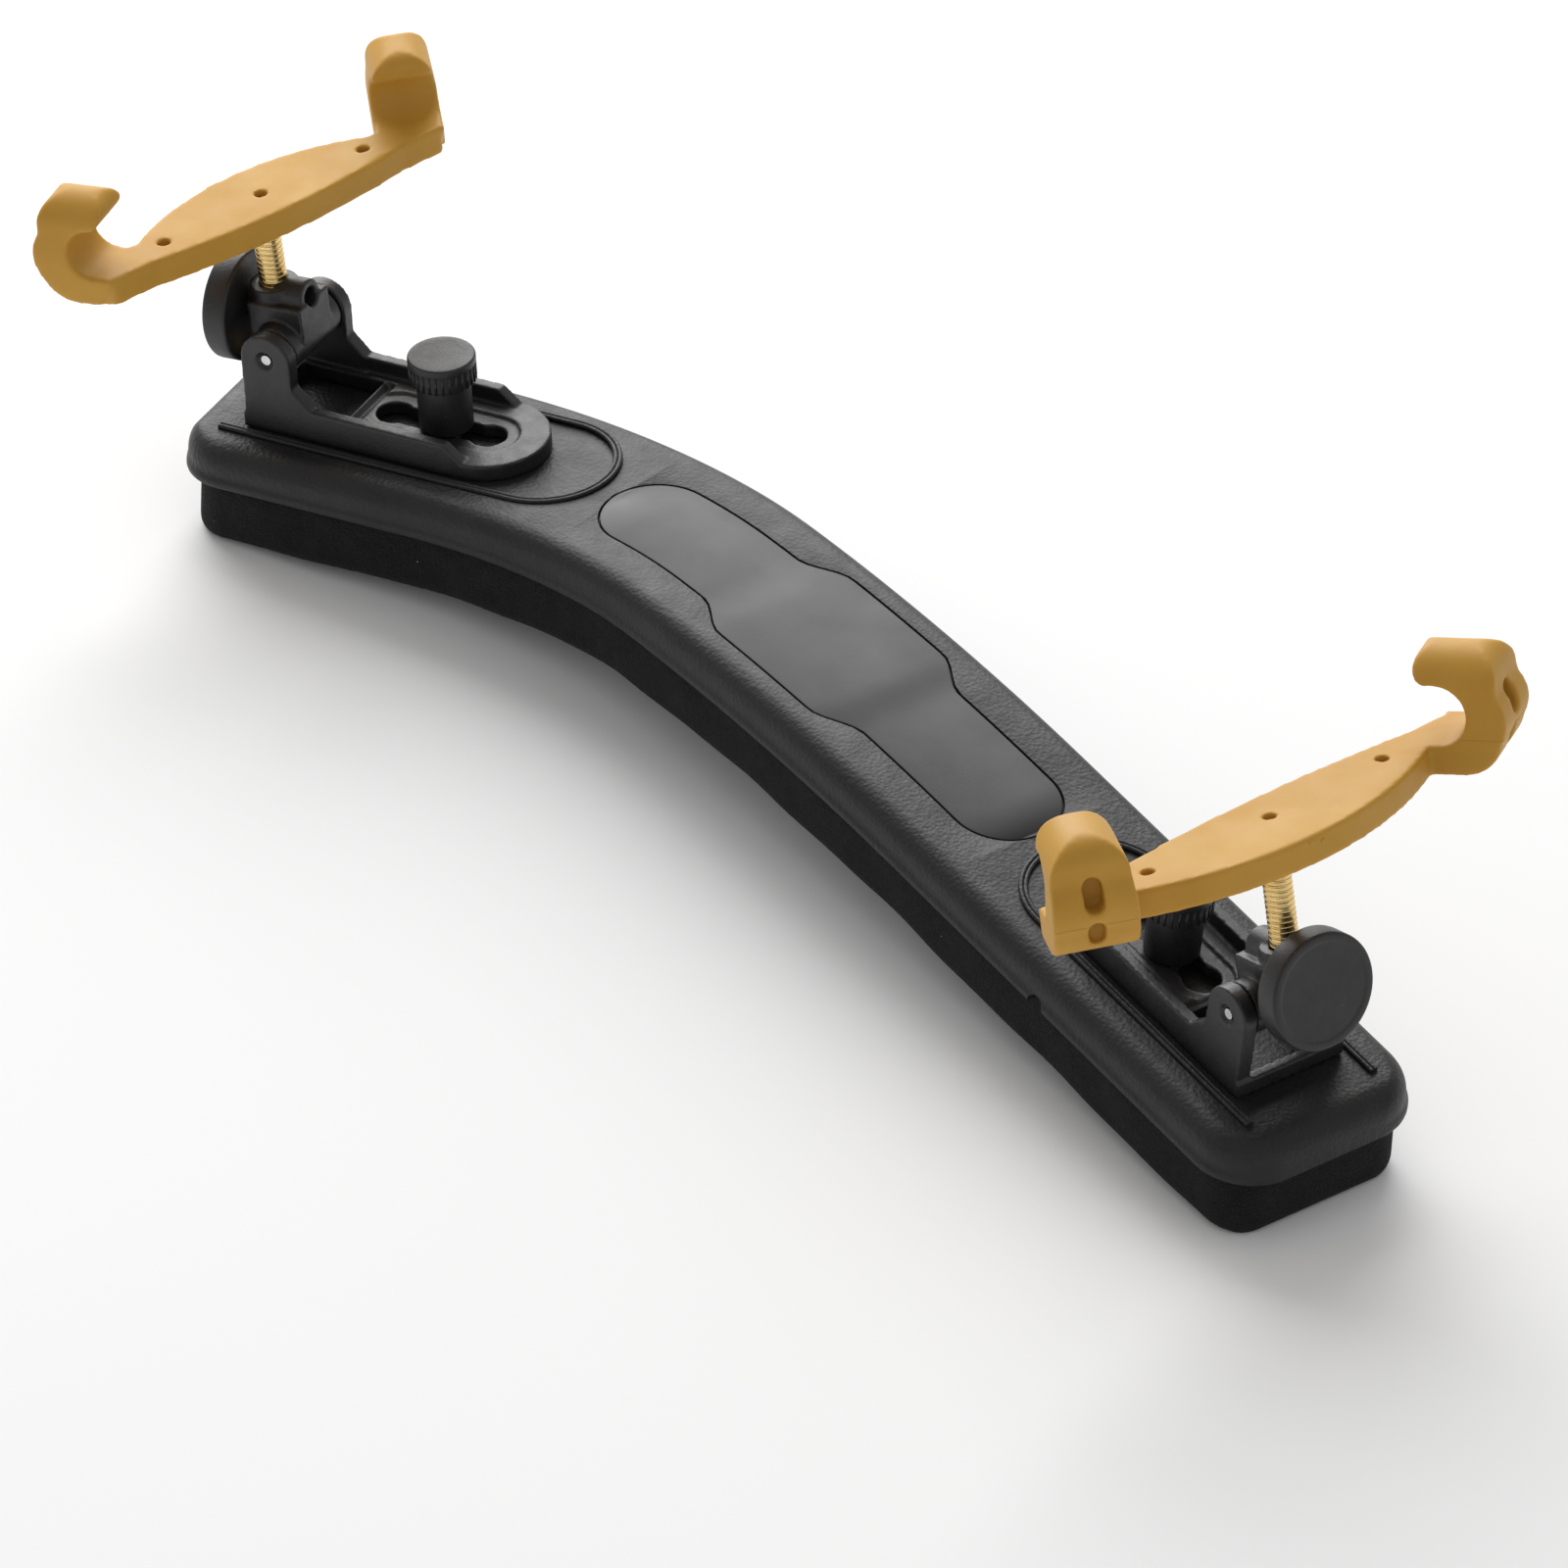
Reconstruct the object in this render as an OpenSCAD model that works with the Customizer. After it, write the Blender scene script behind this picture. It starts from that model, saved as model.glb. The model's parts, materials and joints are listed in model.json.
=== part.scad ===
// Violin shoulder rest: an arched base on a foam pad, with two sliding brackets
// that carry folding legs, screw posts and rubber-covered forks.
// +X runs along the rest, +Y to its far long side, +Z up from the surface it lies on.

/* [Base] */
// Length of the base along its centre line
base_length = 240; // [220:1:300]
// Width of the base at its lower lip
base_width = 35.6; // [34:0.2:46]
// Depth of the base's skirt
skirt_depth = 6.4; // [6.4:0.1:12]
// Radius of the base's long shoulders
shoulder_r = 3.7; // [1.5:0.1:3.8]
// Radius of the base's corners, seen from above
corner_r = 9; // [5:0.5:12]
// Thickness of the skirt's wall
skirt_wall = 1.6; // [1.2:0.1:2.4]
// Thickness of the base's end walls
end_wall = 2; // [1.6:0.1:2.2]
// Thickness of the base's top wall
top_wall = 2; // [1.8:0.1:2.2]
// Slope of the two straight end ramps
ramp_angle = 5.4; // [3:0.1:9]
// Half-length of the arched middle
arch_half = 40; // [30:1:54]
// Turn between the two ends, seen from above
plan_turn = 25.8; // [0:0.2:30]
// Station where the plan bend starts, from the middle towards the left
bend_start = 26; // [5:1:30]
// Length of the plan bend
bend_length = 55; // [40:1:60]

/* [Foam pad] */
// Thickness of the pad below the base's lip
pad_drop = 11.3; // [6:0.1:16]
// How far the soft pad's low ends are pressed flat where the rest stands
pad_flat = 0.5; // [0.2:0.1:0.8]
// Distance from the base's end to the pad's end
pad_inset = 2.5; // [2.5:0.1:5]

/* [Top panel] */
// Length of the smooth panel
panel_length = 101.2; // [70:0.2:104]
// Width of the panel near its ends
panel_width = 16.8; // [12:0.2:19]
// Extra width of the panel's middle on each side
panel_bulge = 3.5; // [0:0.1:3.8]
// Thickness of the panel
panel_t = 0.9; // [0.6:0.1:1.2]

/* [Bracket] */
// Station of the clamp nuts on the base, from the middle
clamp_station = 81.5; // [80:0.5:84]
// Slide of the left bracket from the middle hole, outwards
left_slide = 0.9; // [-8:0.1:8]
// Slide of the right bracket from the middle hole, outwards
right_slide = -0.9; // [-8:0.1:8]
// Half-width of the bracket's plate
plate_half = 9.4; // [9:0.1:9.6]
// Thickness of the plate
plate_t = 2.8; // [2.2:0.1:3.4]
// Distance between neighbouring holes in the plate
hole_pitch = 8; // [7:0.1:8]
// Diameter of the holes in the plate
hole_d = 5.6; // [5:0.1:6]
// Width of the necks that join the holes
neck_w = 4.4; // [4.3:0.1:4.8]
// Distance from the clamp knob to the hinge pins
pin_x = 24.2; // [23.5:0.1:27]
// Height of the hinge pins above the base
pin_z = 12.5; // [11:0.1:14]
// Thickness of an ear
ear_t = 2.4; // [1.8:0.1:2.6]
// Radius of an ear's round top
ear_r = 4.2; // [3.6:0.1:4.6]
// Height of the side rails above the base
rail_h = 5.3; // [4:0.1:6.5]

/* [Clamp knob] */
// Diameter of the knob's head
knob_d = 10.3; // [9:0.1:12]
// Thickness of the knob's head
knob_head_t = 4.3; // [3:0.1:5]
// Diameter of the knob's barrel
barrel_d = 8.2; // [7:0.1:9]
// Height of the knob's top above the base
knob_top = 14.8; // [13:0.1:16]
// Diameter of the clamp stud, an M4 screw
stud_d = 4; // [3:0.1:4]

/* [Leg] */
// Diameter of the hinge pins
hinge_pin_d = 1.6; // [1.4:0.1:2.4]
// Distance from the hinge pins to the post's axis, outwards
post_offset = 2.7; // [2:0.1:3.5]
// Outer diameter of the post's socket
socket_d = 7.4; // [7:0.1:8.4]
// Height of the socket's mouth above the hinge pins
socket_top = 8.3; // [8:0.1:10]
// Height of the thumbwheel's axis above the hinge pins
wheel_z = 3.4; // [3:0.1:4.4]
// Diameter of the thumbwheel
wheel_d = 17.4; // [15:0.1:18]
// Thickness of the thumbwheel
wheel_t = 4; // [3:0.1:5]
// Diameter of the lock screw, an M3 screw
lock_d = 3; // [2.5:0.1:3]
// Lean of the left leg towards the middle, from the bracket's normal
left_lean = -3.5; // [-6:0.1:30]
// Lean of the right leg towards the middle, from the bracket's normal
right_lean = 20.6; // [-6:0.1:30]

/* [Post] */
// Diameter of the brass post
post_d = 4.3; // [4:0.1:4.4]
// Length of the brass post
post_length = 27; // [25:0.5:27]
// Depth of the post's top below the fork plate's top
post_sink = 1.5; // [1:0.1:2]

/* [Fork] */
// Distance from the left post to its fork's hooks, along the fork
left_fork_half = 32; // [31:0.5:40]
// Distance from the right post to its fork's hooks, along the fork
right_fork_half = 39; // [31:0.5:40]
// Distance from the left fork's hooks to its outer small holes, along the fork
left_hole_inset = 13.7; // [12.5:0.1:17]
// Distance from the right fork's hooks to its outer small holes, along the fork
right_hole_inset = 17; // [12.5:0.1:18]
// Diameter of the fork's small holes
fork_hole_d = 2; // [1.6:0.1:2.4]
// Thickness of the fork's plate
fork_t = 4.5; // [4:0.1:5.5]
// Height of the left fork plate's top above the hinge pins
left_fork_top = 23.3; // [20:0.1:29]
// Height of the right fork plate's top above the hinge pins
right_fork_top = 28; // [20:0.1:29]
// Turn of the left fork about its post, from square to the right half
left_fork_turn = 2; // [-180:0.5:180]
// Turn of the right fork about its post, from square to the right half
right_fork_turn = 5; // [-180:0.5:180]
// Width of the plate's arms
arm_w = 6.4; // [5.6:0.1:7]
// Distance from the post to the plate's straight inner side
inner_side = 6.5; // [4.6:0.1:7]
// Distance from the post to the foot of the plate's outer bulge
outer_foot = 0.8; // [0.4:0.1:1.6]
// Depth of the left plate's outer bulge
left_outer_bulge = 7.2; // [4:0.1:9]
// Depth of the right plate's outer bulge
right_outer_bulge = 9; // [4:0.1:10]
// Depth of the plate's inner bulge
inner_bulge = 2.1; // [0.5:0.1:2.6]
// Distance from the post to the back of a hook, outwards
hook_x = 8.1; // [7:0.1:9]
// Width of the left fork's hooks
left_hook_w = 10.3; // [9:0.1:13]
// Width of the right fork's hooks
right_hook_w = 12.2; // [9:0.1:13]
// Turn of a hook's mouth inwards from the fork's length
hook_turn = 60; // [40:1:70]
// Length of the left fork's hooks from back to tip
left_hook_l = 10.6; // [10:0.1:14]
// Length of the right fork's hooks from back to tip
right_hook_l = 12.6; // [10:0.1:14]
// Height of the left fork's hooks above the plate's top
left_hook_h = 12.2; // [11.5:0.1:15]
// Height of the right fork's hooks above the plate's top
right_hook_h = 13.4; // [12.5:0.1:16]
// Thickness of a hook's back
hook_back = 5; // [4:0.1:6]
// Height of the left fork's mouths
left_mouth_h = 7.6; // [7:0.1:9]
// Height of the right fork's mouths
right_mouth_h = 8.8; // [8:0.1:9.4]
// Thickness of the steel core
core_t = 1.2; // [1:0.1:1.5]
// Width of the steel core
core_w = 4.4; // [4:0.1:4.6]

/* [Fits] */
// Radial clearance of turning pins and screws
run_gap = 0.05; // [0.02:0.01:0.1]
// Clearance between faces that slide or lie on each other
seat_gap = 0.1; // [0.05:0.01:0.3]
// Clearance round the panel and the pad
edge_gap = 0.3; // [0.2:0.05:0.5]

/* [Hidden] */
$fn = 48;
left = -1;
right = 1;
eps = 0.01;

// Plan of the centre line: straight right part, bend, straight left part.
// The headings make the chord between the two ends lie along X.
half_length = base_length / 2;
bend_end = bend_start + bend_length;
right_heading = -plan_turn * (half_length - bend_end + bend_length / 2) / base_length;
left_heading = right_heading + plan_turn;
bend_r = bend_length * 180 / PI / max(plan_turn, 0.001);
function heading(s) = s > -bend_start ? right_heading
    : s < -bend_end ? left_heading
    : right_heading + plan_turn * (-bend_start - s) / bend_length;
function arc_point(s) = [
    -bend_start * cos(right_heading) - bend_r * (sin(heading(s)) - sin(right_heading)),
    -bend_start * sin(right_heading) + bend_r * (cos(heading(s)) - cos(right_heading))];
function plan_point(s) = s > -bend_start ? [s * cos(right_heading), s * sin(right_heading)]
    : s < -bend_end ? arc_point(-bend_end) + (s + bend_end) * [cos(left_heading), sin(left_heading)]
    : arc_point(s);

// Height of the centre line: a round arch between two straight ramps.
arch_r = arch_half / sin(ramp_angle);
arch_drop = arch_r - sqrt(arch_r * arch_r - arch_half * arch_half);
function drop(s) = abs(s) < arch_half ? arch_r - sqrt(arch_r * arch_r - s * s)
    : arch_drop + (abs(s) - arch_half) * tan(ramp_angle);
pad_half = half_length - pad_inset;
top_z = drop(pad_half) + skirt_depth + pad_drop - pad_flat;

// Centre of the whole rest's outline, so that it stands over the origin.
centre_x = -2.562;
centre_y = -12.68;
function track_point(s) = [plan_point(s)[0] - centre_x, plan_point(s)[1] - centre_y, top_z - drop(s)];
function ring_point(s, w, n) = track_point(s) + [-sin(heading(s)) * w, cos(heading(s)) * w, n];

// Base section at a station: lip, skirt, shoulder, panel pocket, and the hollow below.
lip = 0.5;
lip_h = 1.2;
base_half = base_width / 2;
shoulder_steps = 4;
crown = 0.03;
function past(s, r) = max(0, abs(s) - (half_length - r));
function section_half(s) = base_half - corner_r + sqrt(corner_r * corner_r - pow(past(s, corner_r), 2));
function section_drop(s) = shoulder_r - sqrt(max(0, shoulder_r * shoulder_r - pow(past(s, shoulder_r), 2)));
hollow_half = half_length - end_wall;
hollow_step = 0.1;
pocket_depth = panel_t + seat_gap;
panel_half = panel_length / 2;
end_r = panel_width / 2;
bulge_flat = 11;
bulge_blend = 9;
function smooth(t) = t <= 0 ? 0 : t >= 1 ? 1 : t * t * (3 - 2 * t);
function bulge(s) = panel_bulge * smooth((bulge_flat + bulge_blend - abs(s)) / bulge_blend);
widest_panel = base_half - lip - shoulder_r - 0.7;
function panel_edge(s, grow) = abs(s) > panel_half - end_r
    ? sqrt(max(0.04, pow(end_r + grow, 2) - pow(abs(s) - (panel_half - end_r), 2)))
    : min(end_r + bulge(s), widest_panel) + grow;
function in_pocket(s) = abs(s) <= panel_half + edge_gap - eps;
function in_hollow(s) = abs(s) <= hollow_half;
function right_side(s, b, t, r) = concat(
    [[b, -skirt_depth], [b, -skirt_depth + lip_h], [b - lip, -skirt_depth + lip_h + lip]],
    [for (i = [0:shoulder_steps])
        let (a = 90 * i / shoulder_steps) [b - lip - r + r * cos(a), -t - r + r * sin(a)]]);
function flipped(list) = [for (i = [len(list) - 1:-1:0]) [-list[i][0], list[i][1]]];
function pocket_side(s, t) = in_pocket(s)
    ? [[panel_edge(s, edge_gap), 0], [panel_edge(s, edge_gap), -pocket_depth]]
    : [[1, crown - t], [0.5, 1.5 * crown - t]];
function hollow_side(s, b) = in_hollow(s)
    ? [[b - skirt_wall, -top_wall], [b - skirt_wall, -skirt_depth]]
    : [[(b - skirt_wall) / 2, 3 * crown - skirt_depth], [b - skirt_wall, 2 * crown - skirt_depth]];
function base_section(s) =
    let (b = section_half(s), t = section_drop(s), r = shoulder_r - t + 0.05)
    let (side = right_side(s, b, t, r), pocket = pocket_side(s, t), hollow = hollow_side(s, b))
    concat(side, pocket, flipped(pocket), flipped(side), flipped(hollow), hollow);

// Stations: close together on the bends and where the ends round off.
corner_steps = 7;
end_stations = [for (i = [0:corner_steps]) half_length - corner_r * (1 - sin(90 * i / corner_steps))];
pocket_steps = 6;
tip_stations = [for (i = [0:pocket_steps])
    panel_half - end_r + (end_r + edge_gap - 2 * eps) * sin(88 * i / pocket_steps)];
middle_step = 3;
middle_stations = [for (s = [0:middle_step:panel_half - end_r - 1]) s];
ramp_stations = [for (s = [panel_half + 4:5:half_length - corner_r - 10]) s];
one_side = concat(middle_stations, tip_stations, [panel_half + edge_gap + 0.1], ramp_stations,
    [half_length - corner_r - 8], [for (s = end_stations) if (s < hollow_half - 0.3) s],
    [hollow_half, hollow_half + hollow_step], [for (s = end_stations) if (s > hollow_half + 0.3) s]);
stations = concat([for (i = [len(one_side) - 1:-1:1]) -one_side[i]], one_side);

// Closed skin through rings of points, all rings with as many points.
module skin(rings) {
    n = len(rings[0]);
    m = len(rings);
    points = [for (ring = rings) each ring];
    walls = [for (j = [0:m - 2]) for (i = [0:n - 1])
        let (a = j * n + i, b = j * n + (i + 1) % n) each [[a, b + n, b], [a, a + n, b + n]]];
    start = [for (i = [0:n - 1]) i];
    finish = [for (i = [n - 1:-1:0]) (m - 1) * n + i];
    polyhedron(points, concat(walls, [start, finish]));
}

// Frame of one side on its ramp: origin on the clamp's axis, x outwards, z off the ramp.
module on_side(side) {
    s = side * clamp_station;
    translate(track_point(s))
        rotate([0, 0, heading(s) + (side == left ? 180 : 0)])
        rotate([0, ramp_angle, 0])
        children();
}

// Frame of a cross section: x along the centre line, y across, z up.
module at_station(s) {
    translate(track_point(s)) rotate([0, 0, heading(s)]) children();
}

// Bracket's frame: the same, slid along the track.
module on_bracket(side) {
    slide = side == left ? left_slide : right_slide;
    on_side(side) translate([slide, 0, 0]) children();
}

// Leg's frame: origin on the hinge pins' axis, z along the post.
module on_leg(side) {
    lean = side == left ? left_lean : right_lean;
    on_bracket(side) translate([pin_x, 0, pin_z]) rotate([0, -lean, 0]) children();
}

function fork_top(side) = side == left ? left_fork_top : right_fork_top;

// Fork's frame: origin on the post's axis at the plate's top, y along the fork, x outwards.
module on_fork(side) {
    turn = side == left ? right_heading - left_heading + left_fork_turn : right_fork_turn;
    on_leg(side) translate([post_offset, 0, fork_top(side)]) rotate([0, 0, turn]) children();
}

module along_y(length) {
    rotate([90, 0, 0]) linear_extrude(length, center = true) children();
}

module stadium(x0, x1, r) {
    union() {
        translate([x0, 0]) circle(r);
        translate([x0, -r]) square([x1 - x0, 2 * r]);
    }
}

track_half = plate_half + 0.85;
rim_w = 1.4;
rim_h = 0.8;
rim_groove = 0.5;
track_end = -hole_pitch - 8.5;
rim_reach = 33;
nut_af = 7;
nut_t = 2.4;
nut_gap = 0.15;
nut_top = -top_wall * cos(ramp_angle) - 0.3;
nut_boss_r = 6;
stud_hole_r = stud_d / 2 + 0.2;
rib_t = 1.6;
rib_bottom = -skirt_depth + 1.2;
rib_stations = [-104, -58, -36, -12, 12, 36, 58, 104];
notch_r = 1.7;
notch_station = 73.7;

module track_rim(side) {
    on_side(side) translate([0, 0, -1.2]) difference() {
        linear_extrude(1.2 + rim_h) stadium(track_end, rim_reach, track_half + rim_w);
        translate([0, 0, 1.2 + rim_h - rim_groove]) linear_extrude(rim_groove + 1) difference() {
            stadium(track_end, rim_reach - 1, track_half + rim_w * 0.65);
            stadium(track_end, rim_reach, track_half + rim_w * 0.35);
        }
    }
}

module nut_pocket() {
    translate([0, 0, nut_top - nut_t - 1])
        cylinder(h = nut_t + 1, d = (nut_af + 2 * nut_gap) / cos(30), $fn = 6);
}

module base_shell() {
    color([0.09, 0.09, 0.1]) difference() {
        union() {
            skin([for (s = stations) [for (p = base_section(s)) ring_point(s, p[0], p[1])]]);
            for (side = [left, right]) {
                track_rim(side);
                on_side(side) translate([0, 0, nut_top - nut_t]) cylinder(r = nut_boss_r, h = nut_t + 1);
            }
            for (s = rib_stations) at_station(s)
                translate([-rib_t / 2, -base_half + skirt_wall - 0.6, rib_bottom])
                cube([rib_t, base_width - 2 * skirt_wall + 1.2, -rib_bottom - top_wall + 0.5]);
        }
        for (side = [left, right]) on_side(side) {
            nut_pocket();
            translate([0, 0, -top_wall - 5]) cylinder(r = stud_hole_r, h = top_wall + 10);
            translate([0, 0, seat_gap / 5]) linear_extrude(rim_h + 1)
                stadium(track_end, rim_reach + 1, track_half);
        }
        at_station(notch_station) translate([0, -base_half, -skirt_depth])
            rotate([90, 0, 0]) cylinder(r = notch_r, h = 2 * skirt_wall + 1, center = true);
    }
}

// Foam pad: a soft bar with rounded lower edges, glued to the base's ribs.
pad_edge_r = 2.5;
pad_steps = 3;
pad_top = rib_bottom - rib_t / 2 * tan(ramp_angle) - seat_gap;
pad_side = base_half - skirt_wall - edge_gap;
pad_corner = corner_r - pad_inset;
function pad_past(s) = max(0, abs(s) - (pad_half - pad_corner));
function pad_half_w(s) = pad_side - pad_corner + sqrt(max(0, pad_corner * pad_corner - pow(pad_past(s), 2)));
function pad_right(w) = concat(
    [for (i = [0:pad_steps]) let (a = -90 + 90 * i / pad_steps)
        [w - pad_edge_r + pad_edge_r * cos(a), -skirt_depth - pad_drop + pad_edge_r + pad_edge_r * sin(a)]],
    [[w, pad_top]]);
function pad_section(s) = let (side = pad_right(pad_half_w(s))) concat(side, flipped(side));
pad_end_stations = [for (i = [0:5]) pad_half - pad_corner * (1 - sin(90 * i / 5))];
pad_one_side = concat([for (s = [0:5:bend_end + 5]) s], pad_end_stations);
pad_stations = concat([for (i = [len(pad_one_side) - 1:-1:1]) -pad_one_side[i]], pad_one_side);

module foam_pad() {
    color([0.05, 0.05, 0.055]) difference() {
        skin([for (s = pad_stations) [for (p = pad_section(s)) ring_point(s, p[0], p[1])]]);
        translate([0, 0, -pad_drop / 2]) cube([3 * half_length, 2 * half_length, pad_drop], center = true);
    }
}

// Smooth panel in the arch's pocket, with its name field left bare.
panel_tip_stations = [for (i = [0:pocket_steps])
    panel_half - end_r + (end_r - eps) * sin(88 * i / pocket_steps)];
panel_one_side = concat(middle_stations, panel_tip_stations);
panel_stations = concat([for (i = [len(panel_one_side) - 1:-1:1]) -panel_one_side[i]], panel_one_side);
function panel_section(s) = let (w = panel_edge(s, 0))
    [[w, -panel_t], [w, 0], [-w, 0], [-w, -panel_t]];

module top_panel() {
    color([0.13, 0.13, 0.14])
        skin([for (s = panel_stations) [for (p = panel_section(s)) ring_point(s, p[0], p[1])]]);
}

// Bracket: slide plate with a row of holes, side rails and two ears.
plate_end = pin_x + ear_r + 0.4;
block_half = plate_half - ear_t - 0.3;
window_start = hole_pitch + hole_d / 2 + 2.5;
window_half = block_half - 0.6;
ring_r = barrel_d / 2 + 0.7;
ring_depth = 0.5;
pin_r = hinge_pin_d / 2;
rail_t = 1.9;
rail_start = -5.7;
rail_ramp = 3;
gusset = 3;

module hole_row(height) {
    for (x = [-hole_pitch, 0, hole_pitch]) translate([x, 0, 0]) cylinder(d = hole_d, h = height);
    translate([-hole_pitch, -neck_w / 2, 0]) cube([2 * hole_pitch, neck_w, height]);
}

module ear_profile() {
    union() {
        translate([pin_x, pin_z]) circle(ear_r);
        translate([pin_x - ear_r, plate_t - 1]) square([2 * ear_r, pin_z - plate_t + 1]);
    }
    polygon([[pin_x - ear_r + eps, rail_h + gusset], [pin_x - ear_r - gusset, rail_h],
        [pin_x - ear_r - gusset, plate_t - 1], [pin_x - ear_r + eps, plate_t - 1]]);
}

module rail_profile() {
    polygon([[rail_start, rail_h], [pin_x, rail_h], [pin_x, plate_t - 1],
        [rail_start - rail_ramp, plate_t - 1], [rail_start - rail_ramp, plate_t]]);
}

module bracket(side) {
    color([0.08, 0.08, 0.085]) on_bracket(side) difference() {
        union() {
            translate([0, 0, seat_gap / 2]) linear_extrude(plate_t - seat_gap / 2)
                stadium(-hole_pitch, plate_end, plate_half);
            for (y = [-1, 1]) {
                translate([0, y * (plate_half - ear_t / 2), 0]) along_y(ear_t) ear_profile();
                translate([0, y * (plate_half - rail_t / 2), 0]) along_y(rail_t) rail_profile();
            }
        }
        translate([0, 0, -1]) hole_row(plate_t + 2);
        translate([0, 0, plate_t - ring_depth]) linear_extrude(ring_depth + 1) union() {
            stadium(-hole_pitch, hole_pitch, ring_r);
            translate([hole_pitch, 0]) circle(ring_r);
        }
        translate([window_start, -window_half, -1])
            cube([plate_end - 1.6 - window_start, 2 * window_half, plate_t + 2]);
        translate([window_start - 1.2, 0, plate_t + 0.3]) rotate([0, 45, 0])
            cube([1.8, 2 * window_half, 1.8], center = true);
        translate([pin_x, 0, pin_z]) along_y(2 * plate_half + 2) circle(pin_r);
        for (y = [-1, 1]) translate([pin_x, y * plate_half, pin_z]) along_y(1) circle(pin_r + 0.6);
    }
}

// Two short pins leave the middle of the hinge free for the post.
pin_inner = 3.4;
pin_outer = plate_half - 0.4;

module hinge_pins(side) {
    color([0.72, 0.72, 0.74]) on_bracket(side) for (y = [-1, 1])
        translate([pin_x, y * (pin_inner + pin_outer) / 2, pin_z])
        along_y(pin_outer - pin_inner) circle(pin_r);
}

// Clamp: knob on a stud that screws into a nut held under the base's top wall.
knob_bottom = plate_t - ring_depth + seat_gap;
stud_r = stud_d / 2;
stud_top = knob_top - 3;
stud_bottom = nut_top - nut_t;
knurl_count = 30;
knurl_r = 0.3;

module clamp_knob(side) {
    color([0.1, 0.1, 0.105]) on_side(side) difference() {
        union() {
            translate([0, 0, knob_bottom]) cylinder(d = barrel_d, h = knob_top - knob_bottom - 1);
            translate([0, 0, knob_top - knob_head_t]) cylinder(d = knob_d, h = knob_head_t);
        }
        translate([0, 0, knob_bottom - 1])
            cylinder(r = stud_r + run_gap, h = stud_top - knob_bottom + 1 + run_gap);
        for (i = [0:knurl_count - 1]) rotate([0, 0, 360 * i / knurl_count])
            translate([knob_d / 2, 0, knob_top - knob_head_t - 1])
            cylinder(r = knurl_r, h = knob_head_t * 0.7 + 1, $fn = 16);
    }
}

module clamp_stud(side) {
    color([0.7, 0.7, 0.72]) on_side(side) translate([0, 0, stud_bottom])
        cylinder(r = stud_r, h = stud_top - stud_bottom);
}

module clamp_nut(side) {
    color([0.68, 0.68, 0.7]) on_side(side) translate([0, 0, nut_top - nut_t]) difference() {
        cylinder(h = nut_t - seat_gap, d = nut_af / cos(30), $fn = 6);
        translate([0, 0, -1]) cylinder(r = stud_r + run_gap, h = nut_t + 2);
    }
}

// Hinge block: knuckle between the ears, socket for the post and a bored boss.
knuckle_r = 3.9;
block_y = 4.2;
block_out = 2.6;
block_top = wheel_z + 2.9;
boss_r = 2.7;
boss_z = socket_top - 1.7;
boss_reach = 3.4;
boss_pocket_r = 1.5;
post_r = post_d / 2;
bush_r = 3;
bush_low = 2.9;
bush_top = wheel_z - lock_d / 2 - 0.4;
lock_r = lock_d / 2;
stub_r = 2.6;
wheel_x = post_offset + socket_d / 2 + 0.4;
post_way = pin_z - plate_t;

module hinge_block(side) {
    color([0.09, 0.09, 0.095]) on_leg(side) difference() {
        union() {
            along_y(2 * block_half) circle(knuckle_r);
            translate([-knuckle_r, -block_y, 0])
                cube([knuckle_r + post_offset + block_out, 2 * block_y, block_top]);
            translate([post_offset, 0, 0]) cylinder(d = socket_d, h = socket_top);
            translate([-boss_reach, 0, boss_z]) rotate([0, 90, 0])
                cylinder(r = boss_r, h = boss_reach + post_offset);
            translate([post_offset, 0, wheel_z]) rotate([0, 90, 0])
                cylinder(r = stub_r, h = socket_d / 2 + 0.2);
        }
        along_y(2 * block_half + 2) circle(pin_r + run_gap);
        translate([post_offset, 0, -post_way]) cylinder(r = post_r + run_gap, h = socket_top + post_way + 4);
        translate([post_offset, 0, -post_way]) cylinder(r = bush_r, h = post_way + bush_top);
        translate([-boss_reach - 1, 0, boss_z]) rotate([0, 90, 0]) cylinder(r = boss_pocket_r, h = 3);
        translate([post_offset, 0, wheel_z]) rotate([0, 90, 0]) cylinder(r = lock_r + run_gap, h = 10);
    }
}

module socket_bush(side) {
    color([0.75, 0.6, 0.3]) on_leg(side) translate([post_offset, 0, -bush_low]) difference() {
        cylinder(r = bush_r, h = bush_low + bush_top);
        translate([0, 0, -1]) cylinder(r = post_r + run_gap, h = bush_low + bush_top + 2);
    }
}

// Thumbwheel on a lock screw whose tip bears on the post.
lock_tip = post_offset + post_r + 0.2;

module thumbwheel(side) {
    color([0.1, 0.1, 0.105]) on_leg(side) translate([wheel_x, 0, wheel_z]) rotate([0, 90, 0]) difference() {
        cylinder(d = wheel_d, h = wheel_t, $fn = 96);
        translate([0, 0, -1]) cylinder(r = lock_r + run_gap, h = wheel_t - 0.8 + 1);
    }
}

module lock_screw(side) {
    color([0.7, 0.7, 0.72]) on_leg(side) translate([lock_tip, 0, wheel_z]) rotate([0, 90, 0])
        cylinder(r = lock_r, h = wheel_x - lock_tip + wheel_t - 1);
}

module post(side) {
    color([0.83, 0.68, 0.35]) on_fork(side) translate([0, 0, -post_sink - post_length])
        cylinder(r = post_r, h = post_length);
}

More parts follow.
